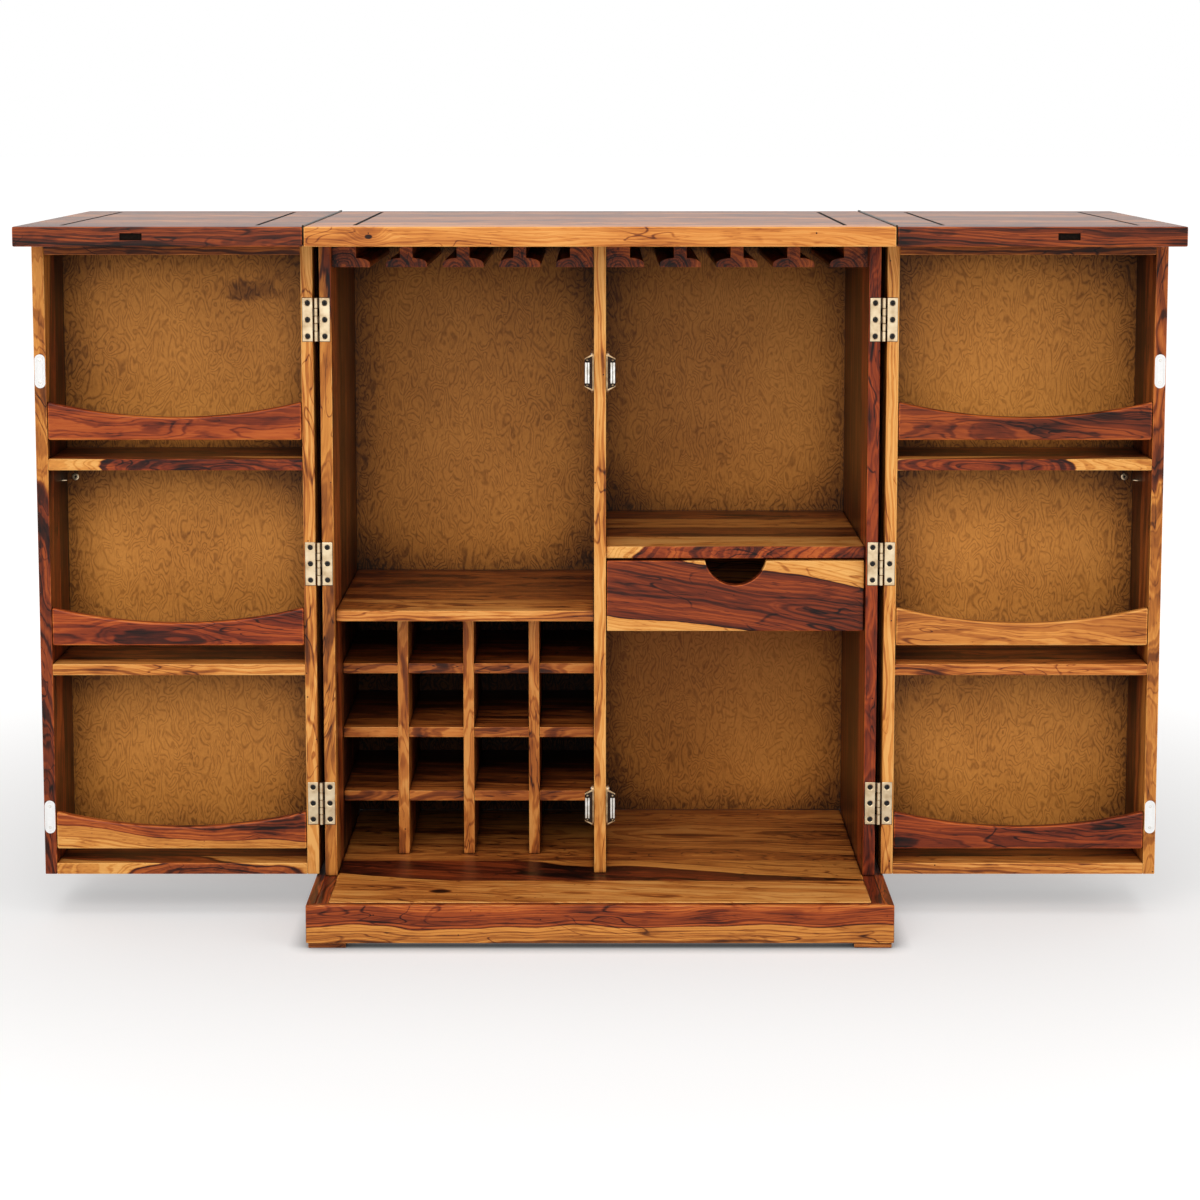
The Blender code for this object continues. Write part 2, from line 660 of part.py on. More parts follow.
def lid_wing_leaf(name, side):
    spans = lid_knuckle_spans()[1::2]
    plate = lid_plate(name, side, 1, spans)
    bore = LID_PIN_RADIUS + PIN_CLEAR
    centre = (side * LID_AXIS_X, 0.0, LID_AXIS_Z)
    for low, high in spans:
        profile = [(LID_KNUCKLE_RADIUS, low), (LID_KNUCKLE_RADIUS, high), (bore, high), (bore, low)]
        plate = fuse(plate, turned("knuckle", profile, "Y", centre, KNUCKLE_SIDES, hollow=True))
    return plate


# Doors
def door_case(name, side):
    """A deep tray: two sides, a top, a bottom and two shelves, rebated behind for its panel."""
    x = (side * DOOR_INNER, side * DOOR_OUTER)
    case = block(name, x, (DOOR_FRONT, DOOR_REAR), (DOOR_BOTTOM, DOOR_TOP))
    ease_edges(case)
    clear = DOOR_REAR - DOOR_FRONT
    x = (side * (DOOR_INNER + BOARD), side * (DOOR_OUTER - BOARD))
    for floor, ceiling in zip(DOOR_BAY_FLOORS, DOOR_BAY_CEILINGS):
        case = cut(case, block("bay", x, (DOOR_FRONT - clear, DOOR_REAR + clear), (floor, ceiling)))
    x = (side * (DOOR_INNER + DOOR_REBATE), side * (DOOR_OUTER - DOOR_REBATE))
    y = (DOOR_PANEL_FRONT - SEAT, DOOR_REAR + clear)
    case = cut(case, block("rebate", x, y, (DOOR_BOTTOM + DOOR_REBATE, DOOR_TOP - DOOR_REBATE)))
    case = cut(case, *[leaf_pocket(side * DOOR_INNER, side, height) for height in HINGE_HEIGHTS])
    return fuse(case, *[strike_plate(side, height) for height in STRIKE_HEIGHTS])


def strike_plate(side, height):
    """The oblong plate on the edge of the door's outer side, which the catch holds."""
    middle = side * (DOOR_OUTER - BOARD / 2)
    radius = STRIKE_WIDTH / 2
    rise = STRIKE_HEIGHT / 2 - radius
    outline = arc((middle, height + rise), radius, 0, 180, 6)
    outline += arc((middle, height - rise), radius, 180, 360, 6)
    return prism("strike", outline, "Y", DOOR_FRONT - STRIKE_PROUD, DOOR_FRONT + STRIKE_ROOT)


def door_panel(name, side):
    x = (side * (DOOR_INNER + DOOR_REBATE + SEAT), side * (DOOR_OUTER - DOOR_REBATE - SEAT))
    z = (DOOR_BOTTOM + DOOR_REBATE + SEAT, DOOR_TOP - DOOR_REBATE - SEAT)
    return block(name, x, (DOOR_PANEL_FRONT, DOOR_PANEL_REAR), z)


def guard_rail(name, side, low):
    """A board across the front of a bay, hollowed along its top in one long curve."""
    near = DOOR_INNER + BOARD + SEAT
    far = DOOR_OUTER - BOARD - SEAT
    half = (far - near) / 2
    radius = (half * half + GUARD_SAG * GUARD_SAG) / (2 * GUARD_SAG)
    reach = math.degrees(math.asin(half / radius))
    top = low + GUARD_END_HEIGHT
    middle = (near + half, top + radius - GUARD_SAG)
    outline = [(near, low), (far, low)] + arc(middle, radius, -90 + reach, -90 - reach, 10)
    return ease_edges(prism(name, mirrored(outline, side), "Y", DOOR_FRONT, DOOR_FRONT + GUARD_THICK))


# Drawer
def drawer_front():
    """The front, with a round notch in its top edge for the fingers."""
    left = PARTITION_HALF + DRAWER_SIDE_GAP
    right = CARCASS_INNER - DRAWER_SIDE_GAP
    middle = (left + right) / 2
    reach = math.degrees(math.asin(NOTCH_RISE / NOTCH_RADIUS))
    outline = [(left, DRAWER_FRONT_UNDER), (right, DRAWER_FRONT_UNDER), (right, DRAWER_FRONT_TOP)]
    outline += arc((middle, DRAWER_FRONT_TOP + NOTCH_RISE), NOTCH_RADIUS, -reach, -180 + reach, 12)
    outline.append((left, DRAWER_FRONT_TOP))
    board = prism("drawer_front", outline, "Y", PARTITION_FRONT, PARTITION_FRONT + DRAWER_FRONT_THICK)
    return ease_edges(board)


def drawer_box():
    """Two sides and a back, with a groove along each side for its runner."""
    left = DRAWER_BOX_LEFT
    right = DRAWER_BOX_RIGHT
    front = DRAWER_BOX_FRONT
    rear = DRAWER_BOX_REAR
    outline = [
        (left, front),
        (left + DRAWER_SIDE, front),
        (left + DRAWER_SIDE, rear - DRAWER_SIDE),
        (right - DRAWER_SIDE, rear - DRAWER_SIDE),
        (right - DRAWER_SIDE, front),
        (right, front),
        (right, rear),
        (left, rear),
    ]
    box = prism("drawer_box", outline, "Z", DRAWER_BOX_UNDER, DRAWER_BOX_TOP)
    deep = RUNNER_BITE + RUNNER_CLEAR
    reach = RUNNER_HEIGHT / 2 + RUNNER_CLEAR
    z = (RUNNER_MIDDLE - reach, RUNNER_MIDDLE + reach)
    y = (front - deep, rear + deep)
    return cut(box, *[block("groove", (x - deep, x + deep), y, z) for x in (left, right)])


def drawer_bottom():
    x = (DRAWER_BOX_LEFT, DRAWER_BOX_RIGHT)
    z = (DRAWER_BOTTOM_UNDER, DRAWER_BOTTOM_UNDER + DRAWER_BOTTOM)
    return block("drawer_bottom", x, (DRAWER_BOX_FRONT, DRAWER_BOX_REAR), z)


# Magnetic catches
def catch(name, side, height):
    """A plate on the partition's face, the magnet's case, and two poles that reach out to the strike."""
    wall = PARTITION_HALF + SEAT
    back = PARTITION_FRONT + CATCH_PLATE_DEPTH
    reach = CATCH_PLATE_HEIGHT / 2
    plate = block(
        name,
        (side * wall, side * (wall + CATCH_PLATE_THICK)),
        (PARTITION_FRONT, back),
        (height - reach, height + reach),
    )
    reach = CATCH_BODY_HEIGHT / 2
    nose = CARCASS_FRONT + POLE_PROUD
    case = block(
        "case",
        (side * wall, side * (wall + CATCH_BODY_WIDTH)),
        (nose, PARTITION_FRONT + CATCH_BODY_BACK),
        (height - reach, height + reach),
    )
    catch_piece = fuse(plate, case)
    reach = POLE_HEIGHT / 2
    middle = wall + CATCH_BODY_WIDTH / 2
    for offset in (-POLE_THICK, POLE_THICK):
        x = (side * (middle + offset - POLE_THICK / 2), side * (middle + offset + POLE_THICK / 2))
        pole = block("pole", x, (CARCASS_FRONT, PARTITION_FRONT), (height - reach, height + reach))
        catch_piece = fuse(catch_piece, pole)
    return catch_piece


# The whole cabinet
def pivot(name, place):
    """An empty on a joint's axis, which the pieces that move together hang on."""
    empty = bpy.data.objects.new(name, None)
    empty.location = place
    bpy.context.scene.collection.objects.link(empty)
    return empty


def finish(pieces, look, parent=None):
    for piece in pieces:
        piece.data.materials.clear()
        piece.data.materials.append(look)
        if parent:
            piece.parent = parent
            piece.location -= parent.location


def build():
    for old in list(bpy.data.objects):
        bpy.data.objects.remove(old)
    dark = material("dark rosewood", (0.16, 0.055, 0.025), 0.32)
    light = material("light rosewood", (0.42, 0.19, 0.06), 0.34)
    ply = material("veneered ply", (0.33, 0.17, 0.05), 0.45)
    brass = material("brass", (0.78, 0.66, 0.42), 0.28, 1.0)
    steel = material("zinc plate", (0.62, 0.60, 0.56), 0.35, 1.0)

    feet = []
    for side, side_name in ((-1, "left"), (1, "right")):
        for end, end_name in ((-1, "front"), (1, "rear")):
            feet.append(foot(f"foot_{end_name}_{side_name}", side, end))
    finish(feet, dark)
    finish([plinth_frame(), side_board("left_side", -1), right_side()], dark)
    finish([base_board(), partition(), centre_top()], light)
    finish([back_panel()], ply)
    finish([shelf("left_shelf", -1, LEFT_SHELF_UNDER, LEFT_SHELF_TOP)], light)
    finish([shelf("right_shelf", 1, RIGHT_SHELF_UNDER, RIGHT_SHELF_TOP)], dark)
    finish([rack_upright(f"rack_upright_{column}", column) for column in range(1, RACK_COLUMNS)], light)
    finish([rack_shelf(f"rack_shelf_{row}", row) for row in range(1, RACK_ROWS)], dark)

    rails = []
    for side, side_name in ((-1, "left"), (1, "right")):
        for count in range(1, STEM_SLOTS):
            first = HALF_RAIL + STEM_SLOT_WIDTH + RAIL_LIP + RAIL_WEB / 2
            middle = side * (PARTITION_HALF + first + (count - 1) * RAIL_PITCH)
            rails.append(stem_rail(f"stem_rail_{side_name}_{count}", middle))
    finish(rails, dark)

    for side, side_name in ((-1, "left"), (1, "right")):
        for height, place in zip(CATCH_HEIGHTS, ("lower", "upper")):
            finish([catch(f"catch_{side_name}_{place}", side, height)], steel)

        door = pivot(f"{side_name}_door_axis", (side * HINGE_AXIS_X, HINGE_AXIS_Y, DOOR_BOTTOM))
        finish([door_case(f"{side_name}_door_case", side)], dark, door)
        finish([door_panel(f"{side_name}_door_panel", side)], ply, door)
        for floor, rise, place in zip(DOOR_BAY_FLOORS, GUARD_RISES, ("lower", "middle", "upper")):
            finish([guard_rail(f"{side_name}_guard_{place}", side, floor + rise)], dark, door)
        for height, place in zip(HINGE_HEIGHTS, ("lower", "middle", "upper")):
            finish([carcass_leaf(f"{side_name}_hinge_{place}_carcass_leaf", side, height)], brass)
            finish([door_leaf(f"{side_name}_hinge_{place}_door_leaf", side, height)], brass, door)

        lid = pivot(f"{side_name}_wing_axis", (side * LID_AXIS_X, 0.0, LID_AXIS_Z))
        finish([wing_top(f"{side_name}_wing_top", side)], dark, lid)
        finish([lid_centre_leaf(f"{side_name}_lid_hinge_centre_leaf", side)], brass)
        finish([lid_wing_leaf(f"{side_name}_lid_hinge_wing_leaf", side)], brass, lid)

    slide = pivot("drawer_axis", ((DRAWER_BOX_LEFT + DRAWER_BOX_RIGHT) / 2, DRAWER_BOX_FRONT, RUNNER_MIDDLE))
    finish([drawer_front(), drawer_box()], dark, slide)
    finish([drawer_bottom()], ply, slide)


build()
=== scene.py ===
import math
import bmesh
import bpy
from mathutils import Matrix, Vector


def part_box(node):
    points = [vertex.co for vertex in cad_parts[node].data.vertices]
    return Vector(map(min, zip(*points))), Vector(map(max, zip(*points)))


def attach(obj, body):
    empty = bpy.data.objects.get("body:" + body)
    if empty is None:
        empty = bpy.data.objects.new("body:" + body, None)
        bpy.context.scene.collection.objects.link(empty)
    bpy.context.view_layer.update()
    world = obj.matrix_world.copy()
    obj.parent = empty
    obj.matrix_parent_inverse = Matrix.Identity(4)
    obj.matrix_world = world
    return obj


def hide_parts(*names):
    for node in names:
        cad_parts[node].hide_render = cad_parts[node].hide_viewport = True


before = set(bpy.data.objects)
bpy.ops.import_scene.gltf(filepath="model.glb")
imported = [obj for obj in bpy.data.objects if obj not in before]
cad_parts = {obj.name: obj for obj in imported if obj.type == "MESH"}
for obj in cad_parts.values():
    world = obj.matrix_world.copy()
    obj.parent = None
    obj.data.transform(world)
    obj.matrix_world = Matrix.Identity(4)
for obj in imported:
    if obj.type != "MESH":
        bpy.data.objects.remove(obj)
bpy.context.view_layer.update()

# Camera, light and floor. The photograph is taken from a little above the top of the open cabinet and
# four metres off, in an even white studio. The floor keeps a soft shadow and the backdrop stays white.
EYE = (0.0, -3.9623, 1.1593)
TILT_DOWN = 0.1117


def placed(name, data):
    """A new object in the scene."""
    made = bpy.data.objects.new(name, data)
    bpy.context.scene.collection.objects.link(made)
    return made


camera = placed("camera", bpy.data.cameras.new("camera"))
camera.data.sensor_width = 36.0
camera.data.lens = 81.93
camera.data.shift_y = -0.155
camera.location = EYE
camera.rotation_euler = (math.pi / 2 - TILT_DOWN, 0.0, 0.0)
bpy.context.scene.camera = camera
bpy.context.scene.view_settings.view_transform = "Standard"


def soft_box(name, place, aim_height, width, height, power):
    """A lamp's soft box, turned towards the cabinet's middle at a height."""
    lamp = placed(name, bpy.data.lights.new(name, "AREA"))
    lamp.data.shape = "RECTANGLE"
    lamp.data.size = width
    lamp.data.size_y = height
    lamp.data.energy = power
    lamp.location = place
    towards = Vector((0.0, 0.0, aim_height)) - Vector(place)
    lamp.rotation_euler = towards.to_track_quat("-Z", "Y").to_euler()


soft_box("front soft box", (-0.8, -4.2, 2.7), 0.5, 4.2, 2.8, 120.0)
soft_box("right soft box", (3.6, -2.4, 2.0), 0.5, 2.6, 3.0, 36.0)
soft_box("top soft box", (0.0, -0.4, 3.8), 0.8, 4.0, 3.0, 46.0)


def add_node(tree, kind, feeds=None, **settings):
    """A node with its settings, and with each named or numbered input fed by a value or a socket."""
    node = tree.nodes.new(kind)
    for setting, value in settings.items():
        setattr(node, setting, value)
    for socket, value in (feeds or {}).items():
        if isinstance(value, bpy.types.NodeSocket):
            tree.links.new(value, node.inputs[socket])
        else:
            node.inputs[socket].default_value = value
    return node


def fed(tree, kind, feeds=None, **settings):
    """The first output of such a node."""
    return add_node(tree, kind, feeds, **settings).outputs[0]


def arith(tree, operation, first, second=0.0, third=0.0):
    return fed(tree, "ShaderNodeMath", {0: first, 1: second, 2: third}, operation=operation)


def spread(tree, value, low, high, start=0.0, end=1.0):
    """A value's way from low to high, eased, as the way from start to end."""
    feeds = {0: value, 1: low, 2: high, 3: start, 4: end}
    return fed(tree, "ShaderNodeMapRange", feeds, interpolation_type="SMOOTHSTEP")


def on_object(tree):
    return add_node(tree, "ShaderNodeTexCoord").outputs["Object"]


def length(tree, vector):
    return add_node(tree, "ShaderNodeVectorMath", {0: vector}, operation="LENGTH").outputs["Value"]


def shade_mask(tree, distance, samples):
    """1 in the open, less where other faces are nearer than the distance: the mask for painted shade."""
    near = add_node(tree, "ShaderNodeAmbientOcclusion", {"Distance": distance}, samples=samples)
    return near.outputs["AO"]


def seen_directly(tree):
    """1 for a ray from the camera, and for what shows in gloss or through a clear thing."""
    rays = add_node(tree, "ShaderNodeLightPath").outputs
    sharp = arith(tree, "MAXIMUM", rays["Is Camera Ray"], rays["Is Glossy Ray"])
    return arith(tree, "MAXIMUM", sharp, rays["Is Transmission Ray"])


WHITE = (1.0, 1.0, 1.0, 1.0)
studio = bpy.data.worlds.new("white studio")
studio.use_nodes = True
air = studio.node_tree
air.nodes.clear()
daylight = fed(air, "ShaderNodeBackground", {"Color": (1.0, 0.985, 0.965, 1.0), "Strength": 0.50})
backdrop = fed(air, "ShaderNodeBackground", {"Color": WHITE, "Strength": 1.0})
both = fed(air, "ShaderNodeMixShader", {0: seen_directly(air), 1: daylight, 2: backdrop})
add_node(air, "ShaderNodeOutputWorld", {0: both})
bpy.context.scene.world = studio

sheet = bmesh.new()
bmesh.ops.create_grid(sheet, x_segments=1, y_segments=1, size=60.0)
floor = placed("floor", bpy.data.meshes.new("floor"))
sheet.to_mesh(floor.data)
sheet.free()
paper = bpy.data.materials.new("white paper")
paper.use_nodes = True
ground = paper.node_tree
ground.nodes.clear()


def matt(level):
    return fed(ground, "ShaderNodeBsdfDiffuse", {"Color": (level, level, level, 1.0)})


# The paper glows more with its distance from the cabinet, and painted shade darkens it where faces are near,
# so the narrow gap under the plinth stays dark.
glow = spread(ground, length(ground, on_object(ground)), 0.8, 2.6, 0.34, 0.75)
glow = fed(ground, "ShaderNodeEmission", {"Color": WHITE, "Strength": glow})
bright = fed(ground, "ShaderNodeAddShader", {0: matt(0.62), 1: glow})
bright = fed(ground, "ShaderNodeMixShader", {0: shade_mask(ground, 0.03, 8), 1: matt(0.02), 2: bright})
shown = fed(ground, "ShaderNodeMixShader", {0: seen_directly(ground), 1: matt(0.86), 2: bright})
add_node(ground, "ShaderNodeOutputMaterial", {0: shown})
floor.data.materials.append(paper)


# Plinth: four solid boards, mitred at the corners, with a darker strip inside them that carries on the
# line of the carcass. It stands on four low feet. Every wooden piece is lacquered Indian rosewood.
def timber(
    run, seed, dark, pith=(0.05, 0.08), lean=(0.0, 0.0), sap=9.0, red=0.4, pale=0.16, calm=0.1, knot=None
):
    """How a board was cut: the axis its grain runs along, the darkness of its heart, the place of the log's
    pith beside it and how it leans along the board, the radius beyond which the wood is pale sapwood, the
    redness of the heart, how calm its figure is, and a knot as (along, across, across, radius)."""
    wood = {"run": run, "seed": seed, "dark": dark, "pith": pith, "lean": lean, "sap": sap}
    return {**wood, "red": red, "pale": pale, "calm": calm, "knot": knot}


def layer(layers, name):
    """The marks of that name among a shape's marks of one kind, made if they aren't there."""
    return layers.get(name) or layers.new(name)


SHARP = 0.6
LEVEL = 1e-6


def ease(shape, width, only=None):
    """Rounds over a shape's sharp edges, and marks the crest for a painted highlight."""
    painted_highlight = layer(shape.verts.layers.float, "painted_highlight")
    sharp = [edge for edge in shape.edges if edge.calc_face_angle(0.0) > SHARP]
    if only:
        sharp = [edge for edge in sharp if only(edge)]
    if width > 0.0 and sharp:
        how = {"offset": width, "segments": 3, "profile": 0.5, "affect": "EDGES", "clamp_overlap": True}
        rounded = set(bmesh.ops.bevel(shape, geom=sharp, **how)["faces"])
        for face in rounded:
            face.smooth = True
            for vert in face.verts:
                if all(other in rounded for other in vert.link_faces):
                    vert[painted_highlight] = 1.0


def box_shape(low, high, width=0.0012, only=None):
    shape = bmesh.new()
    size = Vector(high) - Vector(low)
    middle = (Vector(high) + Vector(low)) / 2
    bmesh.ops.create_cube(shape, size=1.0, matrix=Matrix.Translation(middle) @ Matrix.Diagonal((*size, 1.0)))
    ease(shape, width, only)
    return shape


def outline_shape(outline, axis, start, end, width=0.0012):
    """A flat outline, its points given in X, Y, Z order, carried along the axis that it leaves out."""
    shape = bmesh.new()
    ring = []
    for point in outline:
        at = list(point)
        at.insert("XYZ".index(axis), start)
        ring.append(shape.verts.new(at))
    grown = bmesh.ops.extrude_face_region(shape, geom=[shape.faces.new(ring)])
    travel = Vector([end - start if letter == axis else 0.0 for letter in "XYZ"])
    moved = [item for item in grown["geom"] if isinstance(item, bmesh.types.BMVert)]
    bmesh.ops.translate(shape, verts=moved, vec=travel)
    bmesh.ops.recalc_face_normals(shape, faces=shape.faces)
    ease(shape, width)
    return shape


def sawn(shape, tools):
    """A shape with other shapes cut out of it."""
    pair = []
    for source in [shape, *tools]:
        mesh = bpy.data.meshes.new("sawing")
        source.to_mesh(mesh)
        source.free()
        pair.append(placed("sawing", mesh))
    for tool in pair[1:]:
        cut = pair[0].modifiers.new("cut", "BOOLEAN")
        cut.object = tool
        cut.operation = "DIFFERENCE"
        cut.solver = "EXACT"
    bpy.context.view_layer.update()
    seen = pair[0].evaluated_get(bpy.context.evaluated_depsgraph_get())
    result = bmesh.new()
    result.from_mesh(seen.to_mesh())
    seen.to_mesh_clear()
    for body in pair:
        mesh = body.data
        bpy.data.objects.remove(body)
        bpy.data.meshes.remove(mesh)
    return result


def middle_of(shape):
    spans = [[vert.co[axis] for vert in shape.verts] for axis in range(3)]
    return [(min(span) + max(span)) / 2 for span in spans]


KNOT_STRETCH = 0.6
NO_KNOT = (50.0, 50.0, 50.0)
SEED_STEP = 1.37


def wood_marks(shape):
    layers = shape.verts.layers
    marks = [layer(layers.float_vector, name) for name in ("grain", "tone", "knot")]
    return marks + [layer(layers.float, name) for name in ("pale", "calm")]


def lay_grain(shape, wood, middle=None):
    """Writes on every point where it lies in its log, which the wood's figure is drawn from."""
    grain, tone, knot, pale, calm = wood_marks(shape)
    if middle is None:
        middle = middle_of(shape)
    run = "XYZ".index(wood["run"])
    order = [run] + [axis for axis in range(3) if axis != run]
    for vert in shape.verts:
        along, v, w = (vert.co[axis] - middle[axis] for axis in order)
        vert[knot] = NO_KNOT
        if wood["knot"]:
            a, b, c, size = wood["knot"]
            vert[knot] = ((along - a) * KNOT_STRETCH / size, (v - b) / size, (w - c) / size)
        v += wood["pith"][0] + wood["lean"][0] * along
        w += wood["pith"][1] + wood["lean"][1] * along
        vert[grain] = (along + SEED_STEP * wood["seed"], v, w)
        vert[tone] = (wood["dark"], wood["sap"], wood["red"])
        vert[pale] = wood["pale"]
        vert[calm] = wood["calm"]
    return shape


def on_rim(low, high):
    """A test for the edges that lie on the outer edges of a box."""

    def test(edge):
        middle = (edge.verts[0].co + edge.verts[1].co) / 2
        return sum(min(abs(middle[i] - low[i]), abs(middle[i] - high[i])) < LEVEL for i in range(3)) >= 2

    return test


def panel_shapes(low, high, across, woods, width=0.0012):
    """Boards glued edge to edge into one panel. Only the panel's own edges are rounded."""
    low = Vector(low)
    high = Vector(high)
    axis = "XYZ".index(across)
    shapes = []
    for place, wood in enumerate(woods):
        near = Vector(low)
        far = Vector(high)
        near[axis] = low[axis] + (high[axis] - low[axis]) * place / len(woods)
        far[axis] = low[axis] + (high[axis] - low[axis]) * (place + 1) / len(woods)
        shapes.append(lay_grain(box_shape(near, far, width, on_rim(low, high)), wood))
    return shapes


def joined(shapes, name):
    """Several shapes as one mesh that carries the marks of wood."""
    mesh = bpy.data.meshes.new(name)
    together = bmesh.new()
    wood_marks(together)
    layer(together.verts.layers.float, "painted_highlight")
    for shape in shapes:
        shape.to_mesh(mesh)
        shape.free()
        together.from_mesh(mesh)
    together.to_mesh(mesh)
    together.free()
    return mesh


def fitted(made, body, nodes):
    """Lets a finished piece move with a body and stand for the solids named."""
    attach(made, body)
    if nodes:
        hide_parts(*nodes)
    return made


def piece(name, shapes, look, slot, body, *nodes):
    """Puts shapes together as one piece."""
    made = placed(name, joined(shapes, name))
    made.data.materials.append(look)
    return fitted(made, body, nodes)


def new_look(name, roughness, gloss=0.5):
    look = bpy.data.materials.new(name)
    look.use_nodes = True
    shader = look.node_tree.nodes["Principled BSDF"]
    shader.inputs["Roughness"].default_value = roughness
    shader.inputs["Specular IOR Level"].default_value = gloss
    return look, look.node_tree, shader


def srgb(*levels):
    """A colour given from 0 to 255, as the shader takes it."""
    parts = [level / 255 for level in levels]
    linear = [part / 12.92 if part < 0.04045 else ((part + 0.055) / 1.055) ** 2.4 for part in parts]
    return (*linear, 1.0)


def ramp(tree, factor, *stops):
    """A colour that goes through stops, each a place and its red, green and blue."""
    band = add_node(tree, "ShaderNodeValToRGB", {0: factor})
    ends = band.color_ramp.elements
    for end, (place, *levels) in ((ends[0], stops[0]), (ends[1], stops[-1])):
        end.position = place
        end.color = srgb(*levels)
    for place, *levels in stops[1:-1]:
        ends.new(place).color = srgb(*levels)
    return band.outputs[0]


def blend(tree, factor, first, second):
    return fed(tree, "ShaderNodeMix", {0: factor, 2: first, 3: second})


def heaped(tree, depth, *shares):
    """A depth of colour with a share of each pattern laid on it."""
    for pattern, share in shares:
        depth = arith(tree, "MULTIPLY_ADD", pattern, share, depth)
    return depth


def scaled(tree, vector, by):
    return fed(tree, "ShaderNodeVectorMath", {0: vector, 1: by}, operation="MULTIPLY")


def noise(tree, vector, scale, detail, distortion=0.0):
    feeds = {"Vector": vector, "Scale": scale, "Detail": detail, "Distortion": distortion}
    return fed(tree, "ShaderNodeTexNoise", feeds)


def ring_noise(tree, radius, scale, detail):
    feeds = {"W": radius, "Scale": scale, "Detail": detail, "Roughness": 0.6}
    return fed(tree, "ShaderNodeTexNoise", feeds, noise_dimensions="1D")


def contours(tree, hills, count, thin):
    """Fine lines that follow the hills of a noise."""
    steps = arith(tree, "FRACT", arith(tree, "MULTIPLY", hills, count))
    return spread(tree, arith(tree, "ABSOLUTE", arith(tree, "SUBTRACT", steps, 0.5)), thin, 0.5)


def emboss(tree, shader, height):
    feeds = {"Strength": 0.12, "Distance": 0.0003, "Height": height}
    tree.links.new(fed(tree, "ShaderNodeBump", feeds), shader.inputs["Normal"])


rosewood, tree, shader = new_look("lacquered rosewood", 0.34, 0.16)


def mark(name, output):
    return add_node(tree, "ShaderNodeAttribute", attribute_name=name).outputs[output]


def along_grain(stretch, scale, detail, distortion=0.0):
    """Noise drawn out along the grain."""
    return noise(tree, scaled(tree, grain, (stretch, 1.0, 1.0)), scale, detail, distortion)


grain = mark("grain", "Vector")
pale = mark("pale", "Fac")
calm = mark("calm", "Fac")
painted_highlight = mark("painted_highlight", "Fac")
knot = length(tree, mark("knot", "Vector"))
darkness, sap, redness = add_node(tree, "ShaderNodeSeparateXYZ", {0: mark("tone", "Vector")}).outputs
# The rings swell and ripple, and bulge round a knot.
radius = arith(tree, "SUBTRACT", length(tree, scaled(tree, grain, (0.0, 1.0, 1.0))), 0.0205)
halo = spread(tree, knot, 1.0, 6.0, 1.0, 0.0)
swell = along_grain(0.35, 15.0, 1.5)
ripple = along_grain(0.22, 70.0, 2.5)
radius = heaped(tree, radius, (swell, 0.034), (ripple, 0.007), (halo, 0.011))
bands = spread(tree, ring_noise(tree, radius, 85.0, 2.0), 0.40, 0.66)
thin = arith(tree, "ABSOLUTE", arith(tree, "SUBTRACT", ring_noise(tree, radius, 210.0, 1.0), 0.5))
lines = spread(tree, thin, 0.01, 0.10, 1.0, 0.0)
smoke = spread(tree, along_grain(0.16, 58.0, 3.0, 0.7), 0.48, 0.72)
ink = spread(tree, along_grain(0.07, 130.0, 2.0, 0.4), 0.62, 0.72)
fibre = along_grain(0.030, 480.0, 3.0)
pores = spread(tree, along_grain(0.09, 520.0, 1.0), 0.64, 0.74)
cloud = along_grain(0.5, 13.0, 2.0)
# Fine dark checks wander along the grain in patches.
checks = contours(tree, along_grain(0.20, 34.0, 1.5, 0.8), 6.0, 0.41)
checks = arith(tree, "MULTIPLY", checks, spread(tree, cloud, 0.44, 0.58))
# Heartwood lies inside the sapwood, with a dark rim between them.
from_sap = arith(tree, "SUBTRACT", sap, radius)
heart = spread(tree, from_sap, -0.0004, 0.0010)
rim = spread(tree, from_sap, 0.0, 0.0045, 0.30, 0.0)
dark = arith(tree, "SUBTRACT", darkness, 0.54)
dark = heaped(tree, dark, (bands, 0.28), (lines, 0.23), (smoke, 0.26), (ink, 0.16), (cloud, 0.52))
dark = arith(tree, "ADD", blend(tree, calm, dark, darkness), rim)
light = arith(tree, "SUBTRACT", pale, 0.12)
light = heaped(tree, light, (bands, 0.16), (lines, 0.20), (smoke, 0.19), (ink, 0.08))
depth = blend(tree, heart, blend(tree, calm, light, pale), dark)
depth = arith(tree, "SUBTRACT", depth, 0.13)
depth = heaped(tree, depth, (fibre, 0.26), (pores, 0.16), (checks, 0.34), (halo, 0.16))
depth = arith(tree, "MAXIMUM", depth, spread(tree, knot, 0.7, 1.3, 0.96, 0.0))
pins = add_node(tree, "ShaderNodeTexVoronoi", {"Vector": grain, "Scale": 38.0}).outputs["Distance"]
depth = arith(tree, "MAXIMUM", depth, spread(tree, pins, 0.03, 0.06, 0.95, 0.0))
# Painted shade darkens the corners and the joints, and a painted highlight makes the crests of the edges
# paler.
painted_corner_shade = spread(tree, shade_mask(tree, 0.012, 6), 0.25, 0.80, 0.42, 0.0)
depth = heaped(tree, depth, (painted_corner_shade, 1.0), (painted_highlight, -0.22))
browns = ((230, 172, 96), (212, 142, 66), (174, 104, 43), (120, 64, 26), (66, 33, 15), (24, 12, 7))
reds = ((212, 130, 60), (188, 92, 38), (152, 62, 26), (110, 40, 20), (60, 22, 13), (22, 9, 6))
brown = ramp(tree, depth, *((step / 5, *levels) for step, levels in enumerate(browns)))
reddish = ramp(tree, depth, *((step / 5, *levels) for step, levels in enumerate(reds)))
hue = arith(tree, "MULTIPLY", redness, heart)
colour = add_node(tree, "ShaderNodeMix", {0: hue, 6: brown, 7: reddish}, data_type="RGBA").outputs[2]
tree.links.new(colour, shader.inputs["Base Color"])
emboss(tree, shader, fibre)

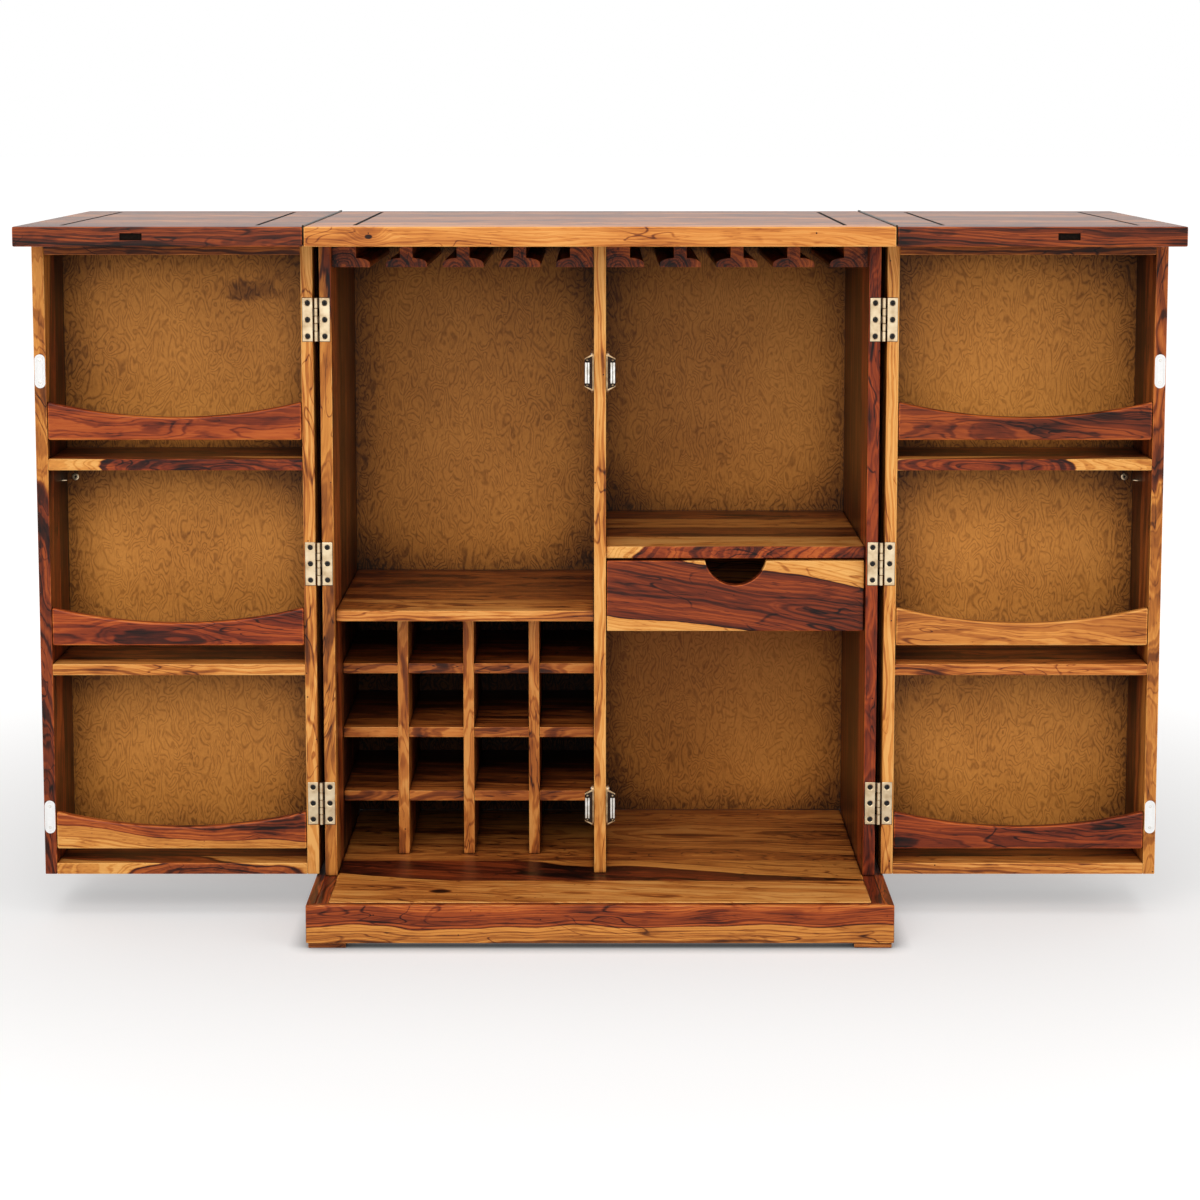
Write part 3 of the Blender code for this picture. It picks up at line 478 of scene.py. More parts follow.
low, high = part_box("plinth_frame")
side_low, side_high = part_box("right_side")
base_low, base_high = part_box("base_board")
SNUG = 0.0003
LEDGE = 0.010
lip = (side_high.x + 0.0001, high.y - LEDGE)
strip = (base_high.x + SNUG, base_high.y + SNUG)
ledge = (strip[0] - LEDGE, strip[1] - LEDGE)


def mitred(outer, inner, top, end, side, width):
    """One board of a mitred frame: end is -1 for the front board and 1 for the rear one, side likewise."""
    if end:
        corners = [(-outer[0], end * outer[1]), (outer[0], end * outer[1])]
        corners += [(inner[0], end * inner[1]), (-inner[0], end * inner[1])]
    else:
        corners = [(side * outer[0], -outer[1]), (side * outer[0], outer[1])]
        corners += [(side * inner[0], inner[1]), (side * inner[0], -inner[1])]
    return outline_shape(corners, "Z", low.z, top, width)


shapes = []
front_cut = timber("X", 3, 0.48, (0.0, -0.060), sap=0.063, red=0.85, pale=0.36, calm=0.0)
for end, side, seed in ((-1, 0, 3), (1, 0, 5), (0, -1, 7), (0, 1, 8)):
    run = "X" if end else "Y"
    cut = front_cut if end == -1 else timber(run, seed, 0.62, red=0.8)
    shapes.append(lay_grain(mitred((high.x, high.y), lip, high.z, end, side, 0.0015), cut))
    cut = timber(run, seed + 10, 0.66, (0.03, 0.02), red=0.9)
    shapes.append(lay_grain(mitred(lip, strip, side_low.z - SNUG, end, side, 0.0006), cut))
    shapes.append(lay_grain(mitred(strip, ledge, base_low.z - SNUG, end, side, 0.0), cut))
piece("plinth_boards", shapes, rosewood, "light_rosewood", "root", "plinth_frame")

for end_name in ("front", "rear"):
    for side_name, seed in (("left", 4), ("right", 5)):
        node = f"foot_{end_name}_{side_name}"
        block = lay_grain(box_shape(*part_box(node), 0.001), timber("X", seed, 0.45, red=0.3))
        piece(f"{end_name}_{side_name}_foot", [block], rosewood, "light_rosewood", "root", node)

# Cabinet floor: five boards glued edge to edge, let in flush between the plinth's strips. The front
# boards are golden with a knot, and the wood turns dark and red towards the rack.
FRONT_KNOT = (-0.225, 0.0, 0.0, 0.012)
SECOND_KNOT = (-0.04, 0.01, 0.0, 0.011)
woods = [
    timber("X", 21, 0.29, (0.012, 0.012), (0.10, 0.02), red=0.2, knot=FRONT_KNOT),
    timber("X", 22, 0.72, (0.03, 0.005), (0.20, 0.02), sap=0.062, red=0.8, pale=0.26, knot=SECOND_KNOT),
    timber("X", 23, 0.44, (0.02, 0.03), (0.04, 0.04), red=0.2, calm=0.15),
    timber("X", 24, 0.46, (0.00, 0.05), (0.04, 0.0), red=0.2, calm=0.15),
    timber("X", 25, 0.42, (0.02, 0.06), red=0.15, calm=0.3),
]
shapes = panel_shapes(base_low, base_high, "Y", woods, 0.002)
piece("cabinet_floor", shapes, rosewood, "light_rosewood", "root", "base_board")

# Carcass sides: upright boards glued edge to edge, mortised in front for the hinge leaves. A half stem
# rail runs along the head of each, the right one carries a drawer runner, and the back is let into both.
BOARD = 0.017
SIDE_INSIDE = 0.378
RUNNER = 0.0062
SIDES = ((-1, "left"), (1, "right"))
PLACES = ("lower", "middle", "upper")
HALF_RAIL_REACH = 0.05375
RAIL_LIP = 0.020
RAIL_FOOT = 0.005
RAIL_HOLLOW = 0.008
RUNNER_HALF = 0.007
back_low, back_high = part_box("back_panel")
rail_low, rail_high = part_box("stem_rail_left_1")


def rail_profile(web, lip):
    """The section of a stem rail from its middle out: a flat under, a thin tip, a hollow up to the web."""
    points = [(lip, 0.0)]
    for step in range(9):
        angle = math.pi / 2 * step / 8
        rise = RAIL_FOOT + RAIL_HOLLOW * math.sin(angle)
        points.append((web + (lip - web) * math.cos(angle), rise))
    points.append((web, rail_high.z - rail_low.z))
    return points


def wall_rail(wall, into, seed):
    """A half rail on a wall, its hollow towards the bay."""
    outline = [(wall, rail_high.z), (wall, rail_low.z)]
    profile = rail_profile(HALF_RAIL_REACH - RAIL_LIP, HALF_RAIL_REACH)
    outline += [(wall + into * x, rail_low.z + z) for x, z in profile]
    rail = outline_shape(outline, "Y", rail_low.y, rail_high.y, 0.0004)
    return lay_grain(rail, timber("Y", seed, 0.66, (0.01, 0.02), red=0.7))


def hinge_pockets(side_name, leaf, low, high):
    """The mortises for a board's three hinge leaves."""
    tools = []
    for place in PLACES:
        leaf_low, leaf_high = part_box(f"{side_name}_hinge_{place}_{leaf}_leaf")
        near = (max(low.x, leaf_low.x) - SNUG, low.y - 0.002, leaf_low.z - SNUG)
        far = (min(high.x, leaf_high.x) + SNUG, low.y + 0.0018, leaf_high.z + SNUG)
        tools.append(box_shape(near, far, 0.0))
    return tools


def upright_panel(low, high, woods, pockets):
    """A side of upright boards, the first of them mortised where it has pockets."""
    shapes = panel_shapes(low, high, "Y", woods)
    if pockets:
        middle = middle_of(shapes[0])
        shapes[0] = lay_grain(sawn(shapes[0], pockets), woods[0], middle)
    return shapes


def rebate_tool(low, high):
    """What is cut away for a panel let in from behind."""
    return box_shape(low - Vector((SNUG, 0.0001, SNUG)), high + Vector((SNUG, 0.02, SNUG)), 0.0)


def drawer_runner(near):
    """The strip that the drawer's groove slides on."""
    box_low, box_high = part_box("drawer_box")
    middle = (box_low.z + box_high.z) / 2
    far = (near + RUNNER, box_high.y, middle + RUNNER_HALF)
    strip = box_shape((near, box_low.y + 0.012, middle - RUNNER_HALF), far, 0.0008)
    return lay_grain(strip, timber("Y", 55, 0.5, (0.01, 0.02), red=0.2))


first_boards = {
    "left": timber("Z", 30, 0.58, (0.020, -0.060), (-0.10, 0.03), sap=0.104, red=0.75, pale=0.33),
    "right": timber("Z", 32, 0.56, (0.020, -0.050), (0.04, 0.02), sap=0.139, red=0.95),
}
for side, side_name in SIDES:
    low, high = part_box(f"{side_name}_side")
    near, far = sorted((side * SIDE_INSIDE, side * (SIDE_INSIDE + BOARD)))
    board_low = Vector((near, low.y, low.z))
    board_high = Vector((far, high.y, high.z))
    # The boards behind the front one are dark timber, made darker still as painted shade inside the carcass.
    woods = [
        first_boards[side_name],
        timber("Z", 34 + side, 0.84, (0.03, 0.05), red=0.2),
        timber("Z", 37 + side, 0.80, (0.02, 0.05), red=0.2),
        timber("Z", 40 + side, 0.84, (0.04, 0.05), red=0.2),
    ]
    shapes = upright_panel(board_low, board_high, woods, hinge_pockets(side_name, "carcass", low, high))
    middle = (board_low + board_high) / 2
    rebated = sawn(shapes[-1], [rebate_tool(back_low, back_high)])
    shapes[-1] = lay_grain(rebated, woods[-1], middle)
    shapes.append(wall_rail(side * SIDE_INSIDE, -side, 50 + side))
    if side > 0:
        shapes.append(drawer_runner(SIDE_INSIDE - RUNNER))
    piece(f"{side_name}_carcass_side", shapes, rosewood, "dark_rosewood", "root", f"{side_name}_side")

# Partition between the rack and the drawer: upright boards set back from the carcass's front, with
# half rails on both faces and the drawer's other runner.
low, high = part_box("partition")
half = BOARD / 2
woods = [
    timber("Z", 61, 0.17, (0.01, 0.050), (0.02, 0.02), red=0.1),
    timber("Z", 62, 0.78, (0.03, 0.05), red=0.3),
    timber("Z", 63, 0.80, (0.02, 0.05), red=0.2),
]
shapes = panel_shapes((-half, low.y, low.z), (half, high.y, high.z), "Y", woods)
shapes += [wall_rail(side * half, side, 65 + side) for side in (-1, 1)]
shapes.append(drawer_runner(half))
piece("middle_partition", shapes, rosewood, "light_rosewood", "root", "partition")

# Back panel: veneered plywood, stained golden brown, with the fine swirling figure of a burr. The door
# panels and the drawer's bottom are of the same board.
ply, tree, shader = new_look("stained burr ply", 0.42, 0.14)
place = on_object(tree)
drawn = scaled(tree, place, (1.0, 1.0, 0.50))
gaps = noise(tree, drawn, 75.0, 1.0)
strokes = contours(tree, noise(tree, drawn, 34.0, 1.0, 0.5), 15.0, 0.18)
strokes = arith(tree, "MULTIPLY", strokes, spread(tree, gaps, 0.38, 0.58))
others = contours(tree, noise(tree, drawn, 58.0, 1.0, 0.5), 9.0, 0.20)
others = arith(tree, "MULTIPLY", others, spread(tree, gaps, 0.62, 0.44))
strokes = arith(tree, "MAXIMUM", strokes, others)
cloudy = noise(tree, place, 6.0, 3.0)
speck = noise(tree, drawn, 420.0, 2.0)
# A smudge of darker wood on the left door's upper panel.
smudge = fed(tree, "ShaderNodeVectorMath", {0: place, 1: (0.51, -0.01, -0.894)}, operation="ADD")
smudge = length(tree, scaled(tree, smudge, (0.6, 1.0, 1.6)))
smudge = spread(tree, heaped(tree, smudge, (gaps, -0.03)), -0.01, 0.022, 0.40, 0.0)
# Painted shade darkens the ply where the boards round it are near.
painted_corner_shade = spread(tree, shade_mask(tree, 0.09, 8), 0.10, 0.90, 0.70, 0.0)
depth = arith(tree, "SUBTRACT", smudge, 0.23)
depth = heaped(tree, depth, (cloudy, 0.55), (strokes, 0.26), (speck, 0.34), (painted_corner_shade, 1.0))
stain = ramp(tree, depth, (0.0, 218, 148, 68), (0.35, 186, 120, 50), (0.7, 116, 68, 27), (1.0, 40, 22, 10))
tree.links.new(stain, shader.inputs["Base Color"])
emboss(tree, shader, strokes)
for name in ("back_panel", "left_door_panel", "right_door_panel", "drawer_bottom"):
    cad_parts[name].data.materials.clear()
    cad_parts[name].data.materials.append(ply)

# Shelves of the carcass: boards glued edge to edge, the left one over the rack and the right one over
# the drawer. Their front boards are the best, golden on the left, and red with pale streaks on the right.
LIPPING = 0.003
low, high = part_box("left_shelf")
woods = [
    timber("X", 71, 0.37, (0.01, 0.05), (0.05, 0.03), red=0.3, calm=0.0),
    timber("X", 72, 0.50, (0.02, 0.05), calm=0.3),
    timber("X", 73, 0.58, (0.0, 0.05), calm=0.3),
    timber("X", 74, 0.60, (0.02, 0.05), calm=0.3),
]
shapes = panel_shapes(low, high, "Y", woods)
piece("left_carcass_shelf", shapes, rosewood, "light_rosewood", "root", "left_shelf")
low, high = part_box("right_shelf")
woods = [
    timber("X", 75, 0.17, (0.02, 0.05), red=0.1, calm=0.3),
    timber("X", 76, 0.70, (0.02, 0.05), red=0.3, calm=0.3),
    timber("X", 77, 0.36, (0.0, 0.05), red=0.1, calm=0.3),
    timber("X", 78, 0.70, (0.02, 0.05), red=0.3),
]
shapes = panel_shapes(low + Vector((0.0, LIPPING, 0.0)), high, "Y", woods)


def in_front(edge):
    return max(vert.co.y for vert in edge.verts) < low.y + 0.001


strip = box_shape(low, (high.x, low.y + LIPPING, high.z), 0.0011, in_front)
cut = timber("X", 79, 0.55, (0.100, 0.0), (-0.28, 0.03), sap=0.134, red=0.9, pale=0.06)
shapes.append(lay_grain(strip, cut))
piece("right_carcass_shelf", shapes, rosewood, "dark_rosewood", "root", "right_shelf")


# Rack: three uprights with three shelves halved into them, sixteen square cells. The uprights
# are pale and run through in front, and the shelves between them are redder.
def new_tree(name, sizes):
    """An empty tree of nodes that takes a mesh and the sizes named, and gives a mesh."""
    grove = bpy.data.node_groups.new(name, "GeometryNodeTree")
    grove.interface.new_socket("Geometry", in_out="INPUT", socket_type="NodeSocketGeometry")
    for size, kind in sizes.items():
        grove.interface.new_socket(size, in_out="INPUT", socket_type=f"NodeSocket{kind}")
    grove.interface.new_socket("Geometry", in_out="OUTPUT", socket_type="NodeSocketGeometry")
    return grove, add_node(grove, "NodeGroupInput").outputs, add_node(grove, "NodeGroupOutput")


def grown(name, start, grove, sizes, slot, body, *nodes):
    """Runs a tree on a starting mesh and keeps what it makes as a plain mesh."""
    made = placed(name, start)
    growth = made.modifiers.new("growth", "NODES")
    growth.node_group = grove
    for item in grove.interface.items_tree:
        if item.in_out == "INPUT" and item.name in sizes:
            growth[item.identifier] = sizes[item.name]
    bpy.context.view_layer.update()
    seen = made.evaluated_get(bpy.context.evaluated_depsgraph_get())
    mesh = bpy.data.meshes.new_from_object(seen)
    made.modifiers.clear()
    made.data = mesh
    mesh.name = name
    return fitted(made, body, nodes)


def grid_points(tree, count, step, rows, row_step, start=(0.0, 0.0, 0.0)):
    """A row of points, and such rows again from the start."""
    row = fed(tree, "GeometryNodeMeshLine", {"Count": count, "Offset": step}, mode="OFFSET")
    heads = {"Count": rows, "Offset": row_step, "Start Location": start}
    heads = fed(tree, "GeometryNodeMeshLine", heads, mode="OFFSET")
    lots = fed(tree, "GeometryNodeInstanceOnPoints", {"Points": heads, "Instance": row})
    return fed(tree, "GeometryNodeRealizeInstances", {0: lots})


def vector(tree, parts):
    return fed(tree, "ShaderNodeCombineXYZ", parts)


def painted_rear_shade(shape, low, high, rear):
    """Darkens a board towards its rear edge: painted shade deep inside the cells."""
    tone = layer(shape.verts.layers.float_vector, "tone")
    for vert in shape.verts:
        inside = (vert.co.y - low.y) / (high.y - low.y)
        dark, sap, red = vert[tone]
        vert[tone] = (dark + (rear - dark) * inside, sap, red)
    return shape


# The tree sets boards in a grid. Every board keeps its own grain by a shift along its log.
sizes = {"Columns": "Int", "Rows": "Int", "Column step": "Float", "Row step": "Float", "Look": "Material"}
rack_tree, given, last = new_tree("boards in a grid", sizes)
GRAIN_SHIFT = 0.731
aside = vector(rack_tree, {"X": given["Column step"]})
above = vector(rack_tree, {"Z": given["Row step"]})
points = grid_points(rack_tree, given["Columns"], aside, given["Rows"], above)
boards = fed(rack_tree, "GeometryNodeInstanceOnPoints", {"Points": points, "Instance": given["Geometry"]})
shift = arith(rack_tree, "MULTIPLY", fed(rack_tree, "GeometryNodeInputIndex"), GRAIN_SHIFT)
marked = {"Geometry": boards, "Name": "shift", "Value": shift}
marked = fed(rack_tree, "GeometryNodeStoreNamedAttribute", marked, domain="INSTANCE")
whole = fed(rack_tree, "GeometryNodeRealizeInstances", {0: marked})
was = fed(rack_tree, "GeometryNodeInputNamedAttribute", {"Name": "grain"}, data_type="FLOAT_VECTOR")
by = fed(rack_tree, "GeometryNodeInputNamedAttribute", {"Name": "shift"})
by = vector(rack_tree, {"X": by})
total = fed(rack_tree, "ShaderNodeVectorMath", {0: was, 1: by}, operation="ADD")
kept = {"Geometry": whole, "Name": "grain", "Value": total}
kept = fed(rack_tree, "GeometryNodeStoreNamedAttribute", kept, data_type="FLOAT_VECTOR")
clean = fed(rack_tree, "GeometryNodeRemoveAttribute", {"Geometry": kept, "Name": "shift"})
dressed = fed(rack_tree, "GeometryNodeSetMaterial", {"Geometry": clean, "Material": given["Look"]})
rack_tree.links.new(dressed, last.inputs[0])


def board_grid(name, shapes, columns, step, rows, row_step, look, slot, body, *nodes):
    """A piece of like things in a grid, columns along X and rows along Z."""
    sizes = {"Columns": columns, "Rows": rows, "Column step": step, "Row step": row_step, "Look": look}
    return grown(name, joined(shapes, "first"), rack_tree, sizes, slot, body, *nodes)


HALVING_FIT = 0.0002
# Uprights and shelves darken towards their rear edges: painted shade deep inside the cells.
low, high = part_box("rack_upright_1")
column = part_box("rack_upright_2")[0].x - low.x
cut = timber("Z", 81, 0.38, (0.03, 0.01), (0.02, 0.0), red=0.3, calm=0.0)
upright = painted_rear_shade(lay_grain(box_shape(low, high, 0.001), cut), low, high, 0.95)
nodes = [f"rack_upright_{count}" for count in (1, 2, 3)]
board_grid("rack_uprights", [upright], 3, column, 1, 0.0, rosewood, "light_rosewood", "root", *nodes)
cell = column - (high.x - low.x) - HALVING_FIT
low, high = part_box("rack_shelf_1")
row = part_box("rack_shelf_2")[0].z - low.z
shelf = box_shape(low, (low.x + cell, high.y, high.z), 0.001)
cut = timber("X", 91, 0.44, (0.02, 0.02), (0.05, 0.02), calm=0.0)
shelf = painted_rear_shade(lay_grain(shelf, cut), low, high, 1.05)
nodes = [f"rack_shelf_{count}" for count in (1, 2, 3)]
board_grid("rack_shelves", [shelf], 4, column, 3, row, rosewood, "dark_rosewood", "root", *nodes)

# Stem rails: three whole rails of T section in each bay, hung under the top with a slot between each two.
# They are milled from rosy brown boards, glued to the top, and made here by the tree of the rack.
HALF_WEB = 0.009
for side, side_name in SIDES:
    nodes = [f"stem_rail_{side_name}_{count}" for count in (1, 2, 3)]
    low, high = min((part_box(node) for node in nodes), key=lambda box: box[0].x)
    middle = (low.x + high.x) / 2
    half = rail_profile(HALF_WEB, (high.x - low.x) / 2)
    outline = [(middle + x, rail_low.z + z) for x, z in half]
    outline += [(middle - x, rail_low.z + z) for x, z in reversed(half)]
    rail = outline_shape(outline, "Y", low.y, high.y, 0.0004)
    rail = lay_grain(rail, timber("Y", 101 + side, 0.66, (0.01, 0.02), red=0.7))
    step = abs(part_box(nodes[1])[0].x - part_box(nodes[0])[0].x)
    name = f"{side_name}_stem_rails"
    board_grid(name, [rail], 3, step, 1, 0.0, rosewood, "dark_rosewood", "root", *nodes)


# Drawer: a solid front with a round notch for the fingers, on a box of two sides and a back, which are
# grooved for the runners and hold a ply bottom.
def arc(centre, radius, first, last, steps):
    points = []
    for step in range(steps + 1):
        angle = math.radians(first + (last - first) * step / steps)
        points.append((centre[0] + radius * math.cos(angle), centre[1] + radius * math.sin(angle)))
    return points


NOTCH = 0.0445
NOTCH_RISE = 0.009
GROOVE = 0.0075
DRAWER_WALL = 0.012
low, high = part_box("drawer_front")
turn = math.degrees(math.asin(NOTCH_RISE / NOTCH))
outline = [(low.x, low.z), (high.x, low.z), (high.x, high.z)]
outline += arc(((low.x + high.x) / 2, high.z + NOTCH_RISE), NOTCH, -turn, -180 + turn, 32)
outline.append((low.x, high.z))
face = outline_shape(outline, "Y", low.y, high.y, 0.0018)
cut = timber("X", 111, 0.64, (0.0, 0.005), (0.03, 0.16), sap=0.049, red=0.85, pale=0.11, calm=0.35)
piece("drawer_face", [lay_grain(face, cut)], rosewood, "dark_rosewood", "drawer", "drawer_front")
low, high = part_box("drawer_box")
middle = (low.z + high.z) / 2
shapes = []
for side, start in ((-1, low.x), (1, high.x - DRAWER_WALL)):
    board = box_shape((start, low.y, low.z), (start + DRAWER_WALL, high.y, high.z), 0.0008)
    near = (start - 0.002 if side < 0 else start + DRAWER_WALL - 0.0055, low.y - 0.01, middle - GROOVE)
    tool = box_shape(near, (near[0] + GROOVE, high.y + 0.01, middle + GROOVE), 0.0)
    shapes.append(lay_grain(sawn(board, [tool]), timber("Y", 112 + side, 0.5, red=0.3)))
near = (low.x + DRAWER_WALL, high.y - DRAWER_WALL, low.z)
board = box_shape(near, (high.x - DRAWER_WALL, high.y, high.z), 0.0008)
shapes.append(lay_grain(board, timber("X", 114, 0.5, red=0.3)))
piece("drawer_walls", shapes, rosewood, "light_rosewood", "drawer", "drawer_box")

# Doors: each a deep tray of two full-height sides with a bottom, a top and two shelves between them,
# standing open flat beside the carcass. Three curved guards run across the front. The ply let in behind
# is veneered outside with upright leaves, which are the cabinet's face when the doors are shut.
stile_woods = {
    ("left", "hinge"): timber("Z", 121, 0.25, (0.02, 0.020), (0.03, 0.02), red=0.15),
    ("left", "outer"): timber("Z", 122, 0.68, (0.02, -0.045), (0.02, -0.12), sap=0.097, red=0.8, pale=0.34),
    ("right", "hinge"): timber("Z", 123, 0.25, (0.02, 0.020), (0.03, 0.02), red=0.15),
    ("right", "outer"): timber("Z", 124, 0.62, (0.02, -0.060), (0.02, 0.10), sap=0.085, red=0.6, pale=0.34),
}
case_woods = {
    "left": (
        timber("X", 141, 0.60, (0.007, 0.012), (0.20, 0.02), sap=0.030, red=0.7, pale=0.18),
        timber("X", 142, 0.36, (0.03, 0.02), (0.02, 0.02), red=0.2),
        timber("X", 143, 0.58, (0.007, 0.005), (0.16, 0.02), sap=0.031, red=0.9),
        timber("X", 144, 0.60, (0.03, 0.02), red=0.3),
    ),
    "right": (
        timber("X", 145, 0.34, (0.03, 0.02), (0.02, 0.02), red=0.2),
        timber("X", 146, 0.38, (0.03, 0.02), (0.02, 0.02)),
        timber("X", 147, 0.58, (0.007, 0.005), (-0.16, 0.02), sap=0.024, red=0.9, pale=0.18),
        timber("X", 148, 0.60, (0.03, 0.02), red=0.3),
    ),
}
guard_woods = {
    ("left", "lower"): timber("X", 151, 0.56, (0.01, -0.03), (-0.10, 0.06), sap=0.040, red=0.8, pale=0.22),
    ("left", "middle"): timber("X", 152, 0.58, (0.03, 0.02), (0.03, 0.03), red=0.95),
    ("left", "upper"): timber("X", 153, 0.62, (0.04, 0.01), (0.04, 0.02), red=0.9),
    ("right", "lower"): timber("X", 154, 0.68, (0.03, 0.02), (0.03, 0.03), red=0.9),
    ("right", "middle"): timber("X", 155, 0.42, (0.04, 0.03), (0.02, 0.03), red=0.15, calm=0.3),
    ("right", "upper"): timber("X", 156, 0.72, (0.04, 0.02), (0.03, 0.04), red=0.8),
}
leaf_tones = (0.50, 0.62, 0.46, 0.66, 0.54, 0.60)
NEAR = 0.404
FAR = 0.798
SHELF_HEIGHTS = ((0.0631, 0.0791), (0.3541, 0.3701), (0.649, 0.665), (0.954, 0.970))
SAG = 0.022
shaded_gap_rosewood = rosewood.copy()
shaded_gap_rosewood.name = "shaded gap rosewood"
shaded_gap_rosewood.node_tree.nodes["Principled BSDF"].inputs["Specular IOR Level"].default_value = 0.0
for side, side_name in SIDES:
    door = f"{side_name}_door"
    low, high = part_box(f"{door}_case")
    panel_low, panel_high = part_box(f"{door}_panel")
    front = low.y + 0.0008
    shapes = []
    for place, start in (("hinge", NEAR), ("outer", FAR - BOARD)):
        ends = sorted((side * start, side * (start + BOARD)))
        stile_low = Vector((ends[0], front, low.z))
        stile_high = Vector((ends[1], high.y, high.z))
        # The rear board of each side is dark timber, made darker still as painted shade inside the tray.
        woods = [stile_woods[side_name, place], timber("Z", 135 + side, 0.86, red=0.2)]
        pockets = hinge_pockets(side_name, "door", stile_low, stile_high) if place == "hinge" else []
        boards = upright_panel(stile_low, stile_high, woods, pockets)
        rebated = sawn(boards[1], [rebate_tool(panel_low, panel_high)])
        boards[1] = lay_grain(rebated, woods[1], (stile_low + stile_high) / 2)
        shapes += boards
    ends = sorted((side * (NEAR + BOARD), side * (FAR - BOARD)))
    for row, (bottom, top) in enumerate(SHELF_HEIGHTS):
        rear = panel_low.y if 0 < row < 3 else high.y
        seeds = [first + 3 * row + side for first in (161, 171, 181)]
        woods = [case_woods[side_name][row]]
        woods += [timber("X", seed, 0.84, (0.02, 0.05), red=0.3) for seed in seeds]
        boards = panel_shapes((ends[0], front, bottom), (ends[1], rear, top), "Y", woods)
        if row in (0, 3):
            middle = ((ends[0] + ends[1]) / 2, rear, (bottom + top) / 2)
            rebated = sawn(boards[3], [rebate_tool(panel_low, panel_high)])
            boards[3] = lay_grain(rebated, woods[3], middle)
        shapes += boards
    tray = piece(f"{door}_tray", shapes, rosewood, "light_rosewood", door, f"{door}_case")
    # The face that meets the carcass edge to edge takes a shaded copy of the rosewood without gloss, which
    # paints the gap between door and carcass dark.
    tray.data.materials.append(shaded_gap_rosewood)
    for face in tray.data.polygons:
        if face.normal.x * side < -0.9 and face.center.x * side < NEAR + 0.001:
            face.material_index = 1
    woods = [
        timber("Z", 190 + 5 * side + row, dark, (0.02, 0.05), (0.02, 0.03), calm=0.55)
        for row, dark in enumerate(leaf_tones)
    ]
    skin_low = (panel_low.x, panel_high.y - 0.0006, panel_low.z)
    skin_high = (panel_high.x, panel_high.y + 0.0003, panel_high.z)
    skin = panel_shapes(skin_low, skin_high, "X", woods, 0.0)
    piece(f"{door}_veneer", skin, rosewood, "light_rosewood", door)
    for place in PLACES:
        node = f"{side_name}_guard_{place}"
        low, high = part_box(node)
        half = (high.x - low.x) / 2
        radius = (half * half + SAG * SAG) / (2 * SAG)
        reach = math.degrees(math.asin(half / radius))
        outline = [(low.x, low.z), (high.x, low.z)]
        outline += arc((low.x + half, high.z + radius - SAG), radius, -90 + reach, -90 - reach, 40)
        guard = lay_grain(outline_shape(outline, "Y", low.y, high.y, 0.0032), guard_woods[side_name, place])
        piece(f"{side_name}_{place}_guard", [guard], rosewood, "dark_rosewood", door, node)


# Top: a middle and two wings of thick boards. Boards run across between a front and a rear rail, with a
# groove near each end, and each wing has a blind slot in its front edge.
def two_tone(name, roughness, gloss, metal, scale, detail, *stops):
    """A look whose colour wanders finely between the stops."""
    look, tree, shader = new_look(name, roughness, gloss)
    shader.inputs["Metallic"].default_value = metal
    colour = ramp(tree, noise(tree, on_object(tree), scale, detail), *stops)
    tree.links.new(colour, shader.inputs["Base Color"])
    return look


def about(centre, half_size):
    """A sharp box round a centre."""
    return box_shape(Vector(centre) - Vector(half_size), Vector(centre) + Vector(half_size), 0.0)


